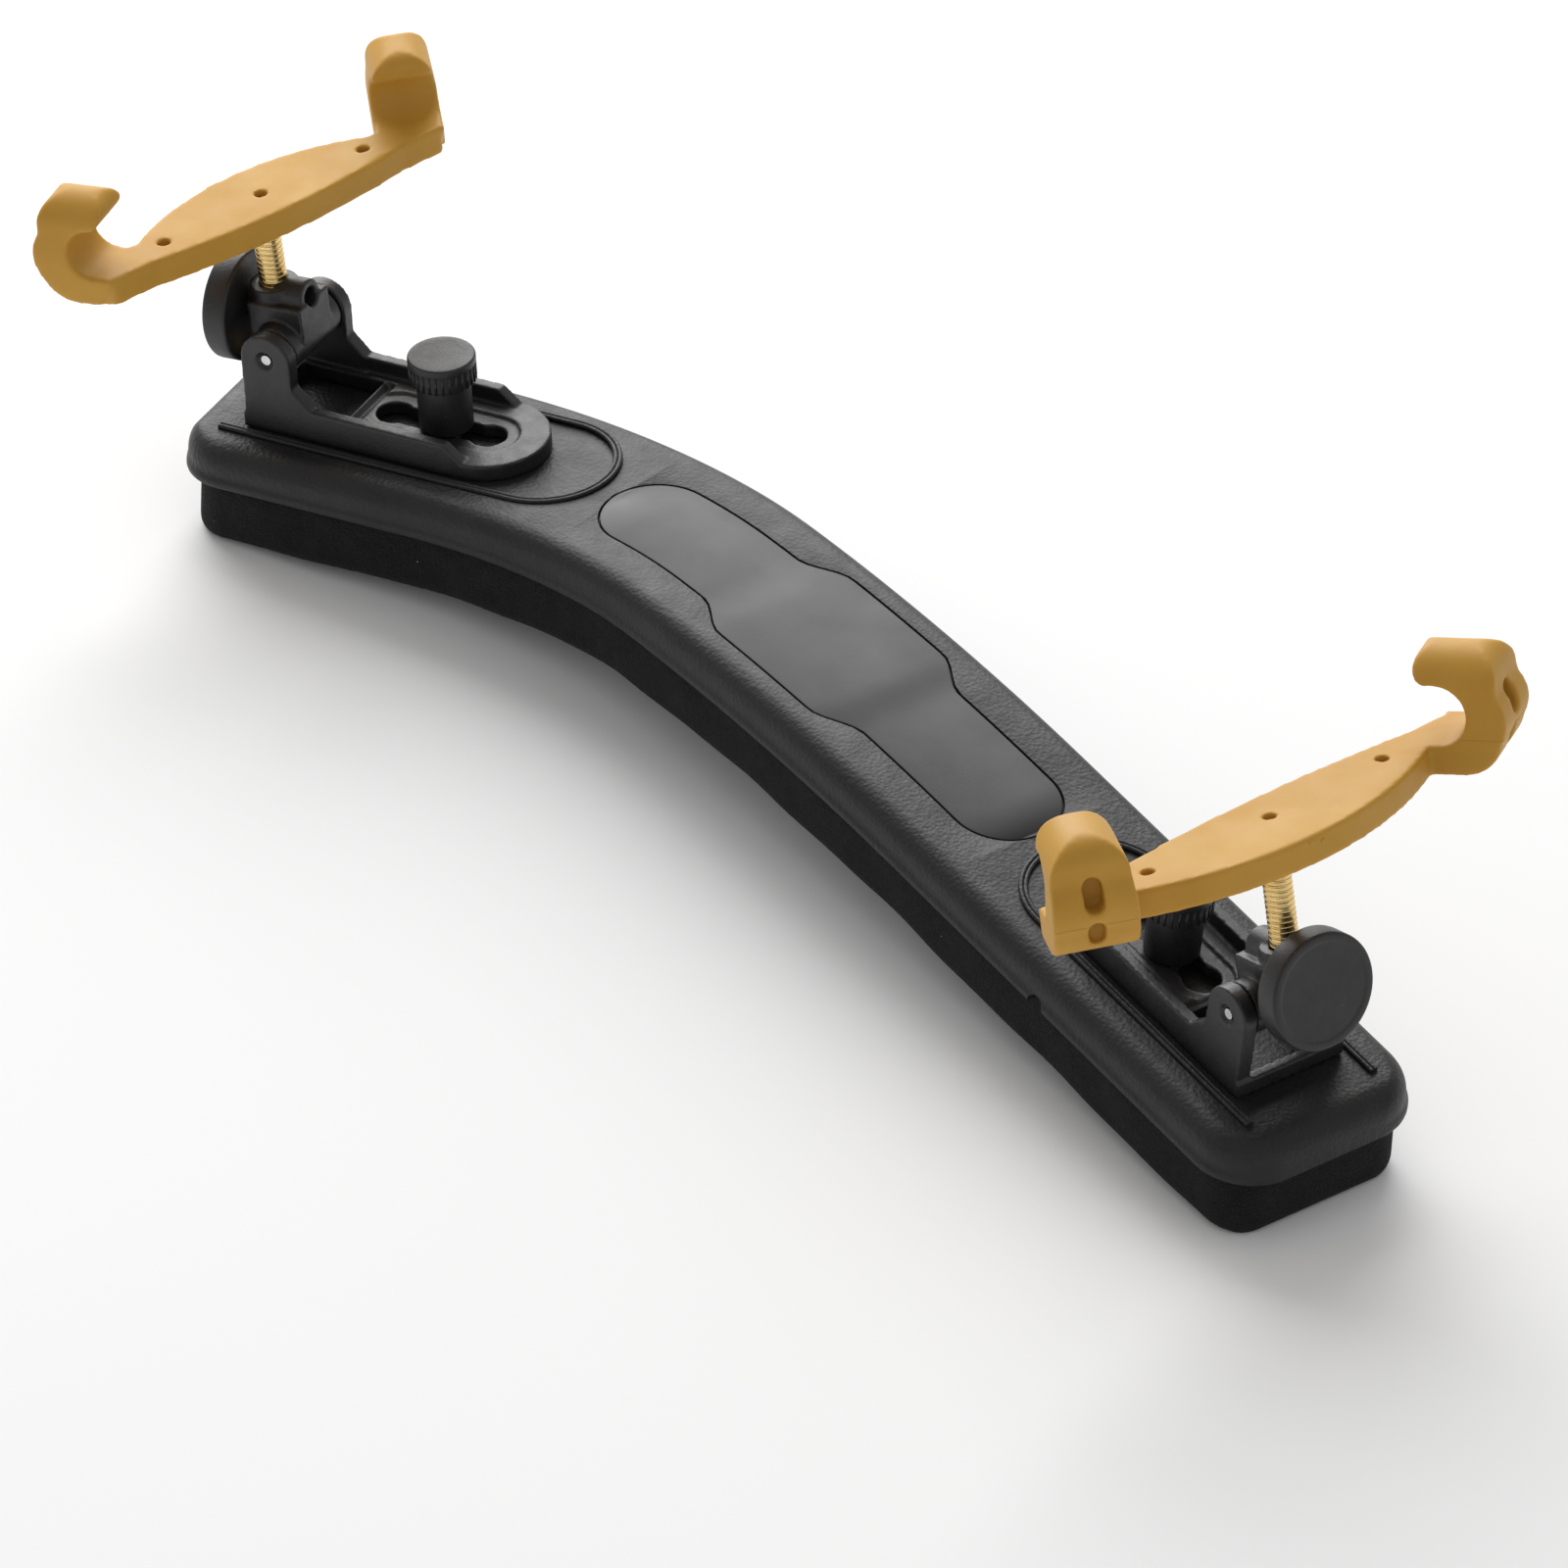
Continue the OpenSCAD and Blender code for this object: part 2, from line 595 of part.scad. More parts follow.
// Fork: rubber cover over a steel strip, with a diagonal hook at each end.
core_z = -fork_t / 2 - core_t / 2;
core_end = 6;
hole_row_x = -0.8;
arm_side = inner_side - inner_bulge;
arm_reach = 9;
arm_end = 2;
hook_crown_r = 4;
hook_heel_r = 6;
hook_foot = 0.4;
hook_hump = 0.8;
slot_depth = 2.6;
function fork_half(side) = side == left ? left_fork_half : right_fork_half;
function hook_l(side) = side == left ? left_hook_l : right_hook_l;
function hook_w(side) = side == left ? left_hook_w : right_hook_w;
function hook_h(side) = side == left ? left_hook_h : right_hook_h;
function mouth_h(side) = side == left ? left_mouth_h : right_mouth_h;
function hook_top(side) = fork_t + hook_h(side);
function hole_inset(side) = side == left ? left_hole_inset : right_hole_inset;

// Small holes in a row, and the middle one over the post.
module small_holes(side) {
    for (y = [-1, 1]) translate([hole_row_x, y * (fork_half(side) - hole_inset(side)), -fork_t - 1])
        cylinder(d = fork_hole_d, h = fork_t + 2);
}

module core_outline(side) {
    half = fork_half(side) - core_end;
    translate([hole_row_x - core_w / 2, -half]) square([core_w, 2 * half]);
    circle(r = post_r + 1.6);
}

module fork_core(side) {
    color([0.66, 0.66, 0.68]) on_fork(side) difference() {
        translate([0, 0, core_z]) linear_extrude(core_t) core_outline(side);
        translate([0, 0, core_z - 1]) cylinder(r = post_r + run_gap, h = core_t + 2);
        small_holes(side);
    }
}

// Arc through a bulge's top and two points as far back as its depth.
function bulge_r(half, depth) = (half * half + depth * depth) / (2 * depth);

// Places a hook's frame at one end of the fork, with x from its back to its tip.
module on_hook(side, end) {
    translate([hook_x, end * fork_half(side)]) rotate(-end * (90 + hook_turn)) children();
}

module fork_outline(side) {
    reach = fork_half(side) - arm_reach;
    outer_bulge = side == left ? left_outer_bulge : right_outer_bulge;
    outer_side = outer_foot + outer_bulge;
    outer_r = bulge_r(reach, outer_bulge);
    inner_r = bulge_r(reach, inner_bulge);
    arm_half = reach + arm_reach - arm_end;
    foot_l = hook_l(side) - hook_heel_r - 1.6;
    foot_w = hook_w(side) - 1.2;
    intersection() {
        translate([outer_side - outer_r, 0]) circle(r = outer_r, $fn = 180);
        translate([inner_r - inner_side, 0]) circle(r = inner_r, $fn = 360);
        translate([-inner_side, -reach]) square([inner_side + outer_side, 2 * reach]);
    }
    translate([-arm_side, -arm_half]) square([arm_w, 2 * arm_half]);
    for (end = [-1, 1]) hull() {
        translate([-arm_side, end * (arm_half - arm_end) - arm_end]) square([arm_w, 2 * arm_end]);
        on_hook(side, end) translate([hook_heel_r, -foot_w / 2]) square([foot_l, foot_w]);
    }
}

// Side view of a hook: back at x = 0, plate's bottom at y = 0, mouth towards +x.
module hook_profile(side) {
    length = hook_l(side);
    top = hook_top(side);
    mouth_r = mouth_h(side) / 2;
    head_r = hook_h(side) / 2 - mouth_r;
    difference() {
        union() {
            translate([hook_crown_r + 0.4, top - hook_crown_r]) circle(hook_crown_r);
            translate([length - head_r, top - head_r]) circle(head_r);
            translate([hook_crown_r + 0.4, top - 2 * head_r])
                square([length - head_r - hook_crown_r - 0.4, 2 * head_r]);
            translate([0.4, hook_heel_r]) square([length - 1.4, top - hook_heel_r - hook_crown_r]);
            translate([hook_heel_r - hook_hump, top / 2 - 1]) circle(hook_heel_r);
            translate([hook_heel_r, hook_heel_r]) circle(hook_heel_r);
            translate([hook_heel_r, 0]) square([length - hook_heel_r - 1, hook_heel_r]);
        }
        translate([hook_back + mouth_r, fork_t + mouth_r]) circle(mouth_r);
        translate([hook_back + mouth_r, fork_t]) square([length, 2 * mouth_r]);
    }
}

// Front view of a hook: straight sides under a round top.
module hook_front(side) {
    half = hook_w(side) / 2;
    arch_r = half - hook_foot;
    top = hook_top(side);
    union() {
        translate([0, top - arch_r]) circle(arch_r);
        polygon([[-half, 0], [half, 0], [half, fork_t + 3], [arch_r - eps, top - arch_r],
            [eps - arch_r, top - arch_r], [-half, fork_t + 3]]);
    }
}

module slot(width, height) {
    rotate([90, 0, 90]) linear_extrude(2 * slot_depth, center = true) union() {
        square([width, height - width], center = true);
        for (y = [-1, 1]) translate([0, y * (height - width) / 2]) circle(width / 2);
    }
}

module hook(side) {
    difference() {
        intersection() {
            along_y(hook_w(side)) hook_profile(side);
            translate([-hook_hump - 1, 0, 0]) rotate([90, 0, 90])
                linear_extrude(hook_l(side) + hook_hump + 2) hook_front(side);
        }
        translate([0, 0, fork_t + 5.4]) slot(2.8, 5);
        translate([0, 0, fork_t - 0.4]) slot(2.4, 3.8);
    }
}

module fork_cover(side) {
    color([0.85, 0.66, 0.34]) on_fork(side) difference() {
        union() {
            translate([0, 0, -fork_t]) linear_extrude(fork_t) fork_outline(side);
            for (end = [-1, 1]) translate([0, 0, -fork_t]) on_hook(side, end) hook(side);
        }
        translate([0, 0, core_z]) linear_extrude(core_t) core_outline(side);
        translate([0, 0, -fork_t - 1]) cylinder(r = post_r + run_gap, h = fork_t - post_sink + 1 + run_gap);
        translate([0, 0, -fork_t]) cylinder(d = fork_hole_d, h = fork_t + 1);
        small_holes(side);
    }
}

base_shell();
foam_pad();
top_panel();
bracket(left);  // left_bracket
hinge_pins(left);  // left_hinge_pins
clamp_knob(left);  // left_clamp_knob
clamp_stud(left);  // left_clamp_stud
clamp_nut(left);  // left_clamp_nut
hinge_block(left);  // left_hinge_block
socket_bush(left);  // left_socket_bush
thumbwheel(left);  // left_thumbwheel
lock_screw(left);  // left_lock_screw
post(left);  // left_post
fork_core(left);  // left_fork_core
fork_cover(left);  // left_fork_cover
bracket(right);  // right_bracket
hinge_pins(right);  // right_hinge_pins
clamp_knob(right);  // right_clamp_knob
clamp_stud(right);  // right_clamp_stud
clamp_nut(right);  // right_clamp_nut
hinge_block(right);  // right_hinge_block
socket_bush(right);  // right_socket_bush
thumbwheel(right);  // right_thumbwheel
lock_screw(right);  // right_lock_screw
post(right);  // right_post
fork_core(right);  // right_fork_core
fork_cover(right);  // right_fork_cover
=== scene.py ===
# %% [markdown]
# # A violin shoulder rest, dressed for its picture
# The CAD model gives every size and place. This file adds the looks: soft moulded
# edges, leather grain, velvety foam, brass threads and amber rubber.
# Everything is in metres, in the CAD model's own frame, so nothing has to be fitted.

# %% Load the frame and keep its box
import json
import math

import bmesh
import bpy
import numpy as np
from mathutils import Matrix, Vector
from mathutils.bvhtree import BVHTree


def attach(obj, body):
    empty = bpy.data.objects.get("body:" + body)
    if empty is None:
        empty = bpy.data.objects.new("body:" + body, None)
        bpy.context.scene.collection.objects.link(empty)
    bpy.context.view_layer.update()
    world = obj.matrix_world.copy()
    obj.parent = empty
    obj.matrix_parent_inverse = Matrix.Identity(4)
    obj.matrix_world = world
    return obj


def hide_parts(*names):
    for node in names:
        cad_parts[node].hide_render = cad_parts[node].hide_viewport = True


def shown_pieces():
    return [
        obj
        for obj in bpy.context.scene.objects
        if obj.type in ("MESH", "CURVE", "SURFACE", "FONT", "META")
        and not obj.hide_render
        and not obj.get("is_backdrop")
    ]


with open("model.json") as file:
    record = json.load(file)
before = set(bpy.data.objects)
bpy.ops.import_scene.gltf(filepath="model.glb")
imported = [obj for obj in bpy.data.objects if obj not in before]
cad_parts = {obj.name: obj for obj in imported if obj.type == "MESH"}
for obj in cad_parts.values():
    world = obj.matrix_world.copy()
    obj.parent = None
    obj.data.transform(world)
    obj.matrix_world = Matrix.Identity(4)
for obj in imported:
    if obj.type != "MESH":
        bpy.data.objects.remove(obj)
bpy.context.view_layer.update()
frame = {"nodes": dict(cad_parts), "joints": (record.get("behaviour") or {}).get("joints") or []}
mm = 0.001
merge_distance = 2e-6

# %% [markdown]
# ## The bar's centre line
# The base is bent twice: it arches over the collarbone, and seen from above it turns
# to one side. The same few sizes that the CAD source holds give both curves here.
# A point on the bar is then a station along it, a way across, and a height off it.

# %% Sizes of the bar, as in the CAD source
half_length, base_half = 120.0, 17.8
skirt_depth, shoulder_r, corner_r = 6.4, 3.7, 9.0
skirt_wall, top_wall, end_wall = 1.6, 2.0, 2.0
ramp_angle, arch_half = math.radians(5.4), 40.0
plan_turn, bend_start, bend_length = math.radians(25.8), 26.0, 55.0
pad_drop, pad_flat, pad_inset = 11.3, 0.5, 2.5
centre_x, centre_y = -2.562, -12.68
bend_end = bend_start + bend_length
right_heading = -plan_turn * (half_length - bend_end + bend_length / 2) / (2 * half_length)
left_heading = right_heading + plan_turn
bend_r = bend_length / plan_turn
arch_r = arch_half / math.sin(ramp_angle)
arch_drop = arch_r - math.sqrt(arch_r ** 2 - arch_half ** 2)


# %% Where a station lies
def heading(s):
    if s > -bend_start:
        return right_heading
    if s < -bend_end:
        return left_heading
    return right_heading + plan_turn * (-bend_start - s) / bend_length


def arc_point(s):
    x = -bend_start * math.cos(right_heading)
    y = -bend_start * math.sin(right_heading)
    a = heading(s)
    return (x - bend_r * (math.sin(a) - math.sin(right_heading)),
            y + bend_r * (math.cos(a) - math.cos(right_heading)))


def plan_point(s):
    if s > -bend_start:
        return s * math.cos(right_heading), s * math.sin(right_heading)
    if s < -bend_end:
        x, y = arc_point(-bend_end)
        return x + (s + bend_end) * math.cos(left_heading), y + (s + bend_end) * math.sin(left_heading)
    return arc_point(s)


def drop(s):
    s = abs(s)
    if s < arch_half:
        return arch_r - math.sqrt(arch_r ** 2 - s ** 2)
    return arch_drop + (s - arch_half) * math.tan(ramp_angle)


top_z = drop(half_length - pad_inset) + skirt_depth + pad_drop - pad_flat


def on_bar(s, across, up):
    """A point in metres, from a station, a way across and a height in millimetres."""
    x, y = plan_point(s)
    a = heading(s)
    return ((x - centre_x - math.sin(a) * across) * mm, (y - centre_y + math.cos(a) * across) * mm,
            (top_z - drop(s) + up) * mm)


print("top of the arch:", [round(v, 4) for v in on_bar(0, 0, 0)])

# %% [markdown]
# ## Frames of the moving parts
# Each side carries a bracket, a leg that folds in it and a fork on a screw post.
# Their joints in the record say where the axes are, so the frames are built from
# the joints and never typed in.

# %% Frames from the joints
joints = {j["name"]: j for j in frame["joints"]}


def frame_of(origin, x, z):
    x, z = Vector(x).normalized(), Vector(z).normalized()
    y = z.cross(x)
    m = Matrix.Identity(4)
    for column, v in enumerate((x, y, z, Vector(origin))):
        for row in range(3):
            m[row][column] = v[row]
    return m


SIDES = ("left", "right")
clamp_frame, leg_frame, fork_frame = {}, {}, {}
post_offset, fork_top = 2.7, {"left": 23.3, "right": 28.0}
fork_turn = {"left": right_heading - left_heading + math.radians(2), "right": math.radians(5)}
for side in SIDES:
    knob, fold = joints[side + "_knob_turn"], joints[side + "_leg_fold"]
    clamp_frame[side] = frame_of(knob["pos_m"], joints[side + "_bracket_slide"]["axis"], knob["axis"])
    leg_frame[side] = frame_of(fold["pos_m"], joints[side + "_thumbwheel_turn"]["axis"],
                               joints[side + "_post_lift"]["axis"])
    fork_frame[side] = (leg_frame[side] @ Matrix.Translation((post_offset * mm, 0, fork_top[side] * mm))
                        @ Matrix.Rotation(fork_turn[side], 4, "Z"))
    print(side, "fork plate's top over its post:", [round(v, 4) for v in fork_frame[side].translation])

# %% [markdown]
# ## The camera
# The photograph was taken from well back with a long lens, from the near left and
# above. Named values hold the direction, roll and distance, found by matching the
# points below. The aim does all the framing, so there is no shift.

# %% Camera from named values
camera_azimuth, camera_height = math.radians(45.70407), math.radians(36.83736)
camera_roll, camera_distance = math.radians(2.14775), 1751.4848 * mm
aim_right, aim_up = 6.79956 * mm, 20.46827 * mm
camera_lens, camera_sensor = 277.553, 36.0
W = H = L = 1568
to_camera = Vector((math.sin(camera_azimuth) * math.cos(camera_height),
                    -math.cos(camera_azimuth) * math.cos(camera_height), math.sin(camera_height)))
level = Vector((math.cos(camera_azimuth), math.sin(camera_azimuth), 0))
upright = to_camera.cross(level)
cam_right = math.cos(camera_roll) * level + math.sin(camera_roll) * upright
cam_up = math.cos(camera_roll) * upright - math.sin(camera_roll) * level
lens_at = (Vector(on_bar(0, 0, 0)) + camera_distance * to_camera
           - aim_right * cam_right - aim_up * cam_up)
camera_data = bpy.data.cameras.new("photo_camera")
camera_data.sensor_fit, camera_data.sensor_width, camera_data.lens = "AUTO", camera_sensor, camera_lens
camera_data.clip_start, camera_data.clip_end = 0.05, 50
camera = bpy.data.objects.new("photo_camera", camera_data)
bpy.context.scene.collection.objects.link(camera)
camera.matrix_world = frame_of(lens_at, cam_right, to_camera)
bpy.context.scene.camera = camera


def seen_at(p):
    """Where a point of the model shows, in pixels of the 1568 frame."""
    d = Vector(p) - lens_at
    depth = -d.dot(to_camera)
    scale = L * camera_lens / camera_sensor / depth
    return W / 2 + scale * d.dot(cam_right), H / 2 - scale * d.dot(cam_up)


print("arch's top shows at", [round(v, 1) for v in seen_at(on_bar(0, 0, 0))])

# %% [markdown]
# ## Image points
# A few named places in the photograph, in pixels of the frame scaled to 1568. At the
# end the same places are measured on the finished pieces. Five of them, the lowest edge, the
# left knob, the right thumbwheel, the left track tip and the panel's left tip, were moved
# to where this model shows the feature, which is 5 to 18 pixels off the photograph.

# %% Points of the photograph
points = {
    "object_left_x": (32.2, None), "object_right_x": (1530.4, None),
    "object_top_y": (None, 32.3), "object_bottom_y": (None, 1232.7),
    "left_fork_near_hole": (161.1, 241.6), "left_fork_middle_hole": (256.2, 191.5),
    "left_fork_far_hole": (360.8, 148.2),
    "right_fork_near_hole": (1148.0, 871.8), "right_fork_middle_hole": (1270.5, 814.1),
    "right_fork_far_hole": (1379.4, 757.0),
    "left_knob_top": (441.3, 355.7), "right_thumbwheel": (1322.3, 991.4),
    "left_track_tip": (622.8, 458.0), "panel_left_tip": (599.6, 522.8),
    "right_dot_1": (1311.2, 842.8), "right_dot_2": (1323.0, 840.8),
    "base_left_x": (183.3, None), "base_right_x": (1405.3, None),
    "skirt_notch": (1033.9, 1004.5),
}
print(len(points), "image points")

# %% [markdown]
# ## One helper for meshes and one for lofts
# Long moulded bars are skins through many cross sections. Each section is a closed
# ring with as many points as the next, so the faces between two rings are plain quads.
# Edges that turn sharply are marked sharp, and all other edges shade smoothly.


# %% Mesh helpers
def put_in_scene(name, mesh):
    obj = bpy.data.objects.new(name, mesh)
    bpy.context.scene.collection.objects.link(obj)
    return obj


def shade(obj, sharp_degrees=35):
    bm = bmesh.new()
    bm.from_mesh(obj.data)
    for face in bm.faces:
        face.smooth = True
    sharp = math.radians(sharp_degrees)
    for edge in bm.edges:
        edge.smooth = len(edge.link_faces) == 2 and edge.calc_face_angle(0) < sharp
    bm.to_mesh(obj.data)
    bm.free()
    return obj


def loft(name, rings, sharp_degrees=35):
    n, verts, faces = len(rings[0]), [p for ring in rings for p in ring], []
    for j in range(len(rings) - 1):
        for i in range(n):
            a, b = j * n + i, j * n + (i + 1) % n
            faces.append((a, a + n, b + n, b))
    last = (len(rings) - 1) * n
    faces += [tuple(range(n)), tuple(last + i for i in range(n - 1, -1, -1))]
    mesh = bpy.data.meshes.new(name)
    mesh.from_pydata(verts, [], faces)
    bm = bmesh.new()
    bm.from_mesh(mesh)
    bmesh.ops.remove_doubles(bm, verts=bm.verts, dist=merge_distance)
    bmesh.ops.triangulate(bm, faces=[f for f in bm.faces if len(f.verts) > 4])
    bmesh.ops.recalc_face_normals(bm, faces=bm.faces)
    bm.to_mesh(mesh)
    bm.free()
    print(name, "has", len(mesh.polygons), "faces")
    return shade(put_in_scene(name, mesh), sharp_degrees)


def both_ways(one_side):
    return [-s for s in reversed(one_side) if s > 0] + list(one_side)


# %% [markdown]
# ## The leather-grained base
# On the real rest the base is one black moulding: a flared lower lip, an upright
# skirt, round shoulders and a shallow pocket for the panel. The CAD base is faceted
# and sharp, so a finer skin with the same section stands for it. A half-round notch
# is cut in the near skirt, as on the real one.

# %% Section of the base
panel_half, panel_end_r, panel_bulge, panel_t = 50.6, 8.4, 3.5, 0.9
bulge_flat, bulge_blend, pocket_gap, pocket_depth, lip = 11.0, 9.0, 0.3, 1.0, 0.5


def mirrored(section):
    return [(-x, z) for x, z in reversed(section)]


def past(s, r):
    return max(0.0, abs(s) - (half_length - r))


def panel_edge(s, grow):
    if abs(s) > panel_half - panel_end_r:
        gone = abs(s) - (panel_half - panel_end_r)
        return math.sqrt(max(0.01, (panel_end_r + grow) ** 2 - gone ** 2))
    t = min(1.0, max(0.0, (bulge_flat + bulge_blend - abs(s)) / bulge_blend))
    widest = base_half - lip - shoulder_r - 0.7
    return min(panel_end_r + panel_bulge * t * t * (3 - 2 * t), widest) + grow


def base_section(s):
    b = base_half - corner_r + math.sqrt(max(0.0, corner_r ** 2 - past(s, corner_r) ** 2))
    t = shoulder_r - math.sqrt(max(0.0, shoulder_r ** 2 - past(s, shoulder_r) ** 2))
    r, low = shoulder_r - t + 0.05, -skirt_depth
    side = [(b - 0.4, low), (b - 0.12, low + 0.1), (b, low + 0.35), (b, low + 0.9),
            (b - 0.1, low + 1.2), (b - 0.3, low + 1.5), (b - 0.44, low + 1.85), (b - lip, low + 2.3)]
    for i in range(11):
        a = math.pi / 2 * i / 10
        side.append((b - lip - r + r * math.cos(a), -t - r + r * math.sin(a)))
    e = panel_edge(s, pocket_gap)
    inner = [(e + 0.12, 0), (e + 0.03, -0.03), (e, -0.12), (e, -pocket_depth)]
    if abs(s) > panel_half + pocket_gap - 0.01:
        inner = [(1.6, -t), (1.2, -t), (0.8, -t), (0.4, -t)]
    w = b - skirt_wall
    hollow = [(w, -top_wall), (w, low)]
    if abs(s) > half_length - end_wall:
        hollow = [(w / 2, low), (w, low)]
    right = side + inner
    return right + mirrored(right) + mirrored(hollow) + hollow


# %% Skin of the base
tip_reach = panel_end_r + pocket_gap - 0.02
tip = [panel_half - panel_end_r + tip_reach * math.sin(math.radians(88) * i / 14)
       for i in range(15)]
end = [half_length - corner_r * (1 - math.sin(math.pi / 2 * i / 20)) for i in range(21)]
hollow_end = half_length - end_wall
stations = sorted(set([2.0 * i for i in range(21)] + tip + [panel_half + pocket_gap + 0.1]
                      + [52.0 + 2.5 * i for i in range(24)] + [hollow_end, hollow_end + 0.1]
                      + [s for s in end if abs(s - hollow_end) > 0.2]))
base = loft("base_moulding", [[on_bar(s, x, z) for x, z in base_section(s)]
                              for s in both_ways(stations)])

# %% Notch in the near skirt
notch_station, notch_r = 73.7, 1.7


def lathe(name, profile, place, segments=64, sharp_degrees=35):
    """A turned piece: profile holds (radius, height) in millimetres round the place's z axis."""
    verts, faces, n = [], [], len(profile)
    for k in range(segments):
        a = 2 * math.pi * k / segments
        verts += [place @ Vector((r * math.cos(a) * mm, r * math.sin(a) * mm, z * mm))
                  for r, z in profile]
        nxt = (k + 1) % segments
        faces += [(k * n + i, nxt * n + i, nxt * n + i + 1, k * n + i + 1)
                  for i in range(n - 1)]
    mesh = bpy.data.meshes.new(name)
    mesh.from_pydata(verts, [], faces)
    bm = bmesh.new()
    bm.from_mesh(mesh)
    bmesh.ops.remove_doubles(bm, verts=bm.verts, dist=merge_distance)
    bmesh.ops.recalc_face_normals(bm, faces=bm.faces)
    bm.to_mesh(mesh)
    bm.free()
    return shade(put_in_scene(name, mesh), sharp_degrees)


def applied(obj):
    """Turns an object and its modifiers into a plain mesh."""
    seen = obj.evaluated_get(bpy.context.evaluated_depsgraph_get())
    mesh = bpy.data.meshes.new_from_object(seen)
    obj.modifiers.clear()
    obj.data = mesh
    return obj


notch_way, notch_reach = heading(notch_station), 3
notch_place = frame_of(on_bar(notch_station, -base_half, -skirt_depth + 0.15),
                       (math.cos(notch_way), math.sin(notch_way), 0),
                       (-math.sin(notch_way), math.cos(notch_way), 0))
cutter = lathe("notch_cutter", [(0, -notch_reach), (notch_r, -notch_reach), (notch_r, notch_reach),
                                (0, notch_reach)], notch_place, 32)
cut = base.modifiers.new("notch", "BOOLEAN")
cut.operation, cut.solver, cut.object = "DIFFERENCE", "EXACT", cutter
base = shade(applied(base))
bpy.data.objects.remove(cutter)
print("base after its notch:", len(base.data.polygons), "faces")

# %% [markdown]
# ## The smooth top panel
# A separate satin plate lies in the pocket, and a hair-thin dark line runs round it.
# Its upper edge is eased a little, so that the line reads as a gap between two parts.
# The name that is moulded on the real one isn't copied: that place stays bare.

# %% Top panel
panel_tip = [panel_half - panel_end_r + (panel_end_r - 0.01) * math.sin(math.radians(89) * i / 16)
             for i in range(17)]


def panel_section(s):
    w = panel_edge(s, 0)
    ease = min(0.25, w / 2)
    right = [(w, -panel_t), (w, -0.2), (w - ease * 0.25, -0.06), (w - ease, 0)]
    return right + mirrored(right)


panel = loft("top_inlay_panel", [[on_bar(s, x, z) for x, z in panel_section(s)]
                                 for s in both_ways([1.5 * i for i in range(28)] + panel_tip)])

# %% [markdown]
# ## The foam pad
# The pad is soft velvety foam, cut a little smaller than the base and glued under it.
# Its lower edges are rounded, its low ends are pressed flat on the floor, and its sides
# swell and sink gently where the cutter pulled the foam. Slow waves of fixed phase do
# that, so each run gives the same pad.

# %% Pad skin
pad_side, pad_half = base_half - skirt_wall - pocket_gap, half_length - pad_inset
pad_corner, pad_edge, pad_low = corner_r - pad_inset, 2.6, -skirt_depth - pad_drop


def foam_wave(s, z, way):
    free = min(1.0, max(0.0, (-skirt_depth - 0.3 - z) / 1.5))
    long_wave = 0.17 * math.sin(s / 6.1 + 1.3 * way)
    short_wave = 0.09 * math.sin(s / 2.9 + 2.1 * way + 0.4 * z)
    return free * (0.2 + (long_wave + short_wave))


def pad_section(s):
    gone = max(0.0, abs(s) - (pad_half - pad_corner))
    w = pad_side - pad_corner + math.sqrt(max(0.0, pad_corner ** 2 - gone ** 2))
    tip_gone = max(0.0, abs(s) - (pad_half - pad_edge))
    lift = pad_edge - math.sqrt(max(0.0, pad_edge ** 2 - tip_gone ** 2))
    r = pad_edge - 0.75 * lift
    right = [(w * 0.25, pad_low + lift), (w * 0.6, pad_low + lift)]
    for i in range(9):
        a = -math.pi / 2 + math.pi / 2 * i / 8
        right.append((w - r + r * math.cos(a), pad_low + lift + r + r * math.sin(a)))
    right += [(w, z) for z in (-11.6, -9.6, -8.0, -7.0, -6.2, -5.4)]
    out = [(x + foam_wave(s, z, 1.0) * min(1.0, x / w), z) for x, z in right]
    other = [(-x - foam_wave(s, z, -1.0) * min(1.0, x / w), z) for x, z in right]
    return out + list(reversed(other))


def above_floor(p):
    return p[0], p[1], max(p[2], 0.0)


pad_end = [pad_half - pad_corner * (1 - math.sin(math.pi / 2 * i / 18)) for i in range(19)]
pad = loft("foam_shoulder_pad", [[above_floor(on_bar(s, x, z)) for x, z in pad_section(s)]
                                 for s in both_ways([1.5 * i for i in range(74)] + pad_end)], 60)

# %% [markdown]
# ## A sweep that follows a path
# The tracks at both ends are outlined by two round beads with a groove between. A bead
# follows a path, so Geometry Nodes make it: the path's edges become a curve, a circle
# is swept along it, and the result is realised and given its material.


# %% Sweep tree
def new_tree(name, sockets):
    tree = bpy.data.node_groups.new(name, "GeometryNodeTree")
    tree.interface.new_socket("Geometry", in_out="INPUT", socket_type="NodeSocketGeometry")
    for label, kind in sockets:
        tree.interface.new_socket(label, in_out="INPUT", socket_type="NodeSocket" + kind)
    tree.interface.new_socket("Geometry", in_out="OUTPUT", socket_type="NodeSocketGeometry")
    return tree, tree.nodes.new("NodeGroupInput"), tree.nodes.new("NodeGroupOutput")


def finish_tree(tree, start, stop, geometry):
    """Every tree ends in Realize Instances and Set Material."""
    smooth = tree.nodes.new("GeometryNodeSetShadeSmooth")
    real = tree.nodes.new("GeometryNodeRealizeInstances")
    paint = tree.nodes.new("GeometryNodeSetMaterial")
    tree.links.new(geometry, smooth.inputs[0])
    tree.links.new(smooth.outputs[0], real.inputs[0])
    tree.links.new(real.outputs[0], paint.inputs[0])
    tree.links.new(start.outputs["Material"], paint.inputs["Material"])
    tree.links.new(paint.outputs[0], stop.inputs[0])


def grown(obj, tree, values):
    """Runs a tree on an object, with its inputs set by identifier, and keeps a plain mesh."""
    modifier = obj.modifiers.new("grow", "NODES")
    modifier.node_group = tree
    for item in tree.interface.items_tree:
        if item.in_out == "INPUT" and item.name in values:
            modifier[item.identifier] = values[item.name]
    return applied(obj)


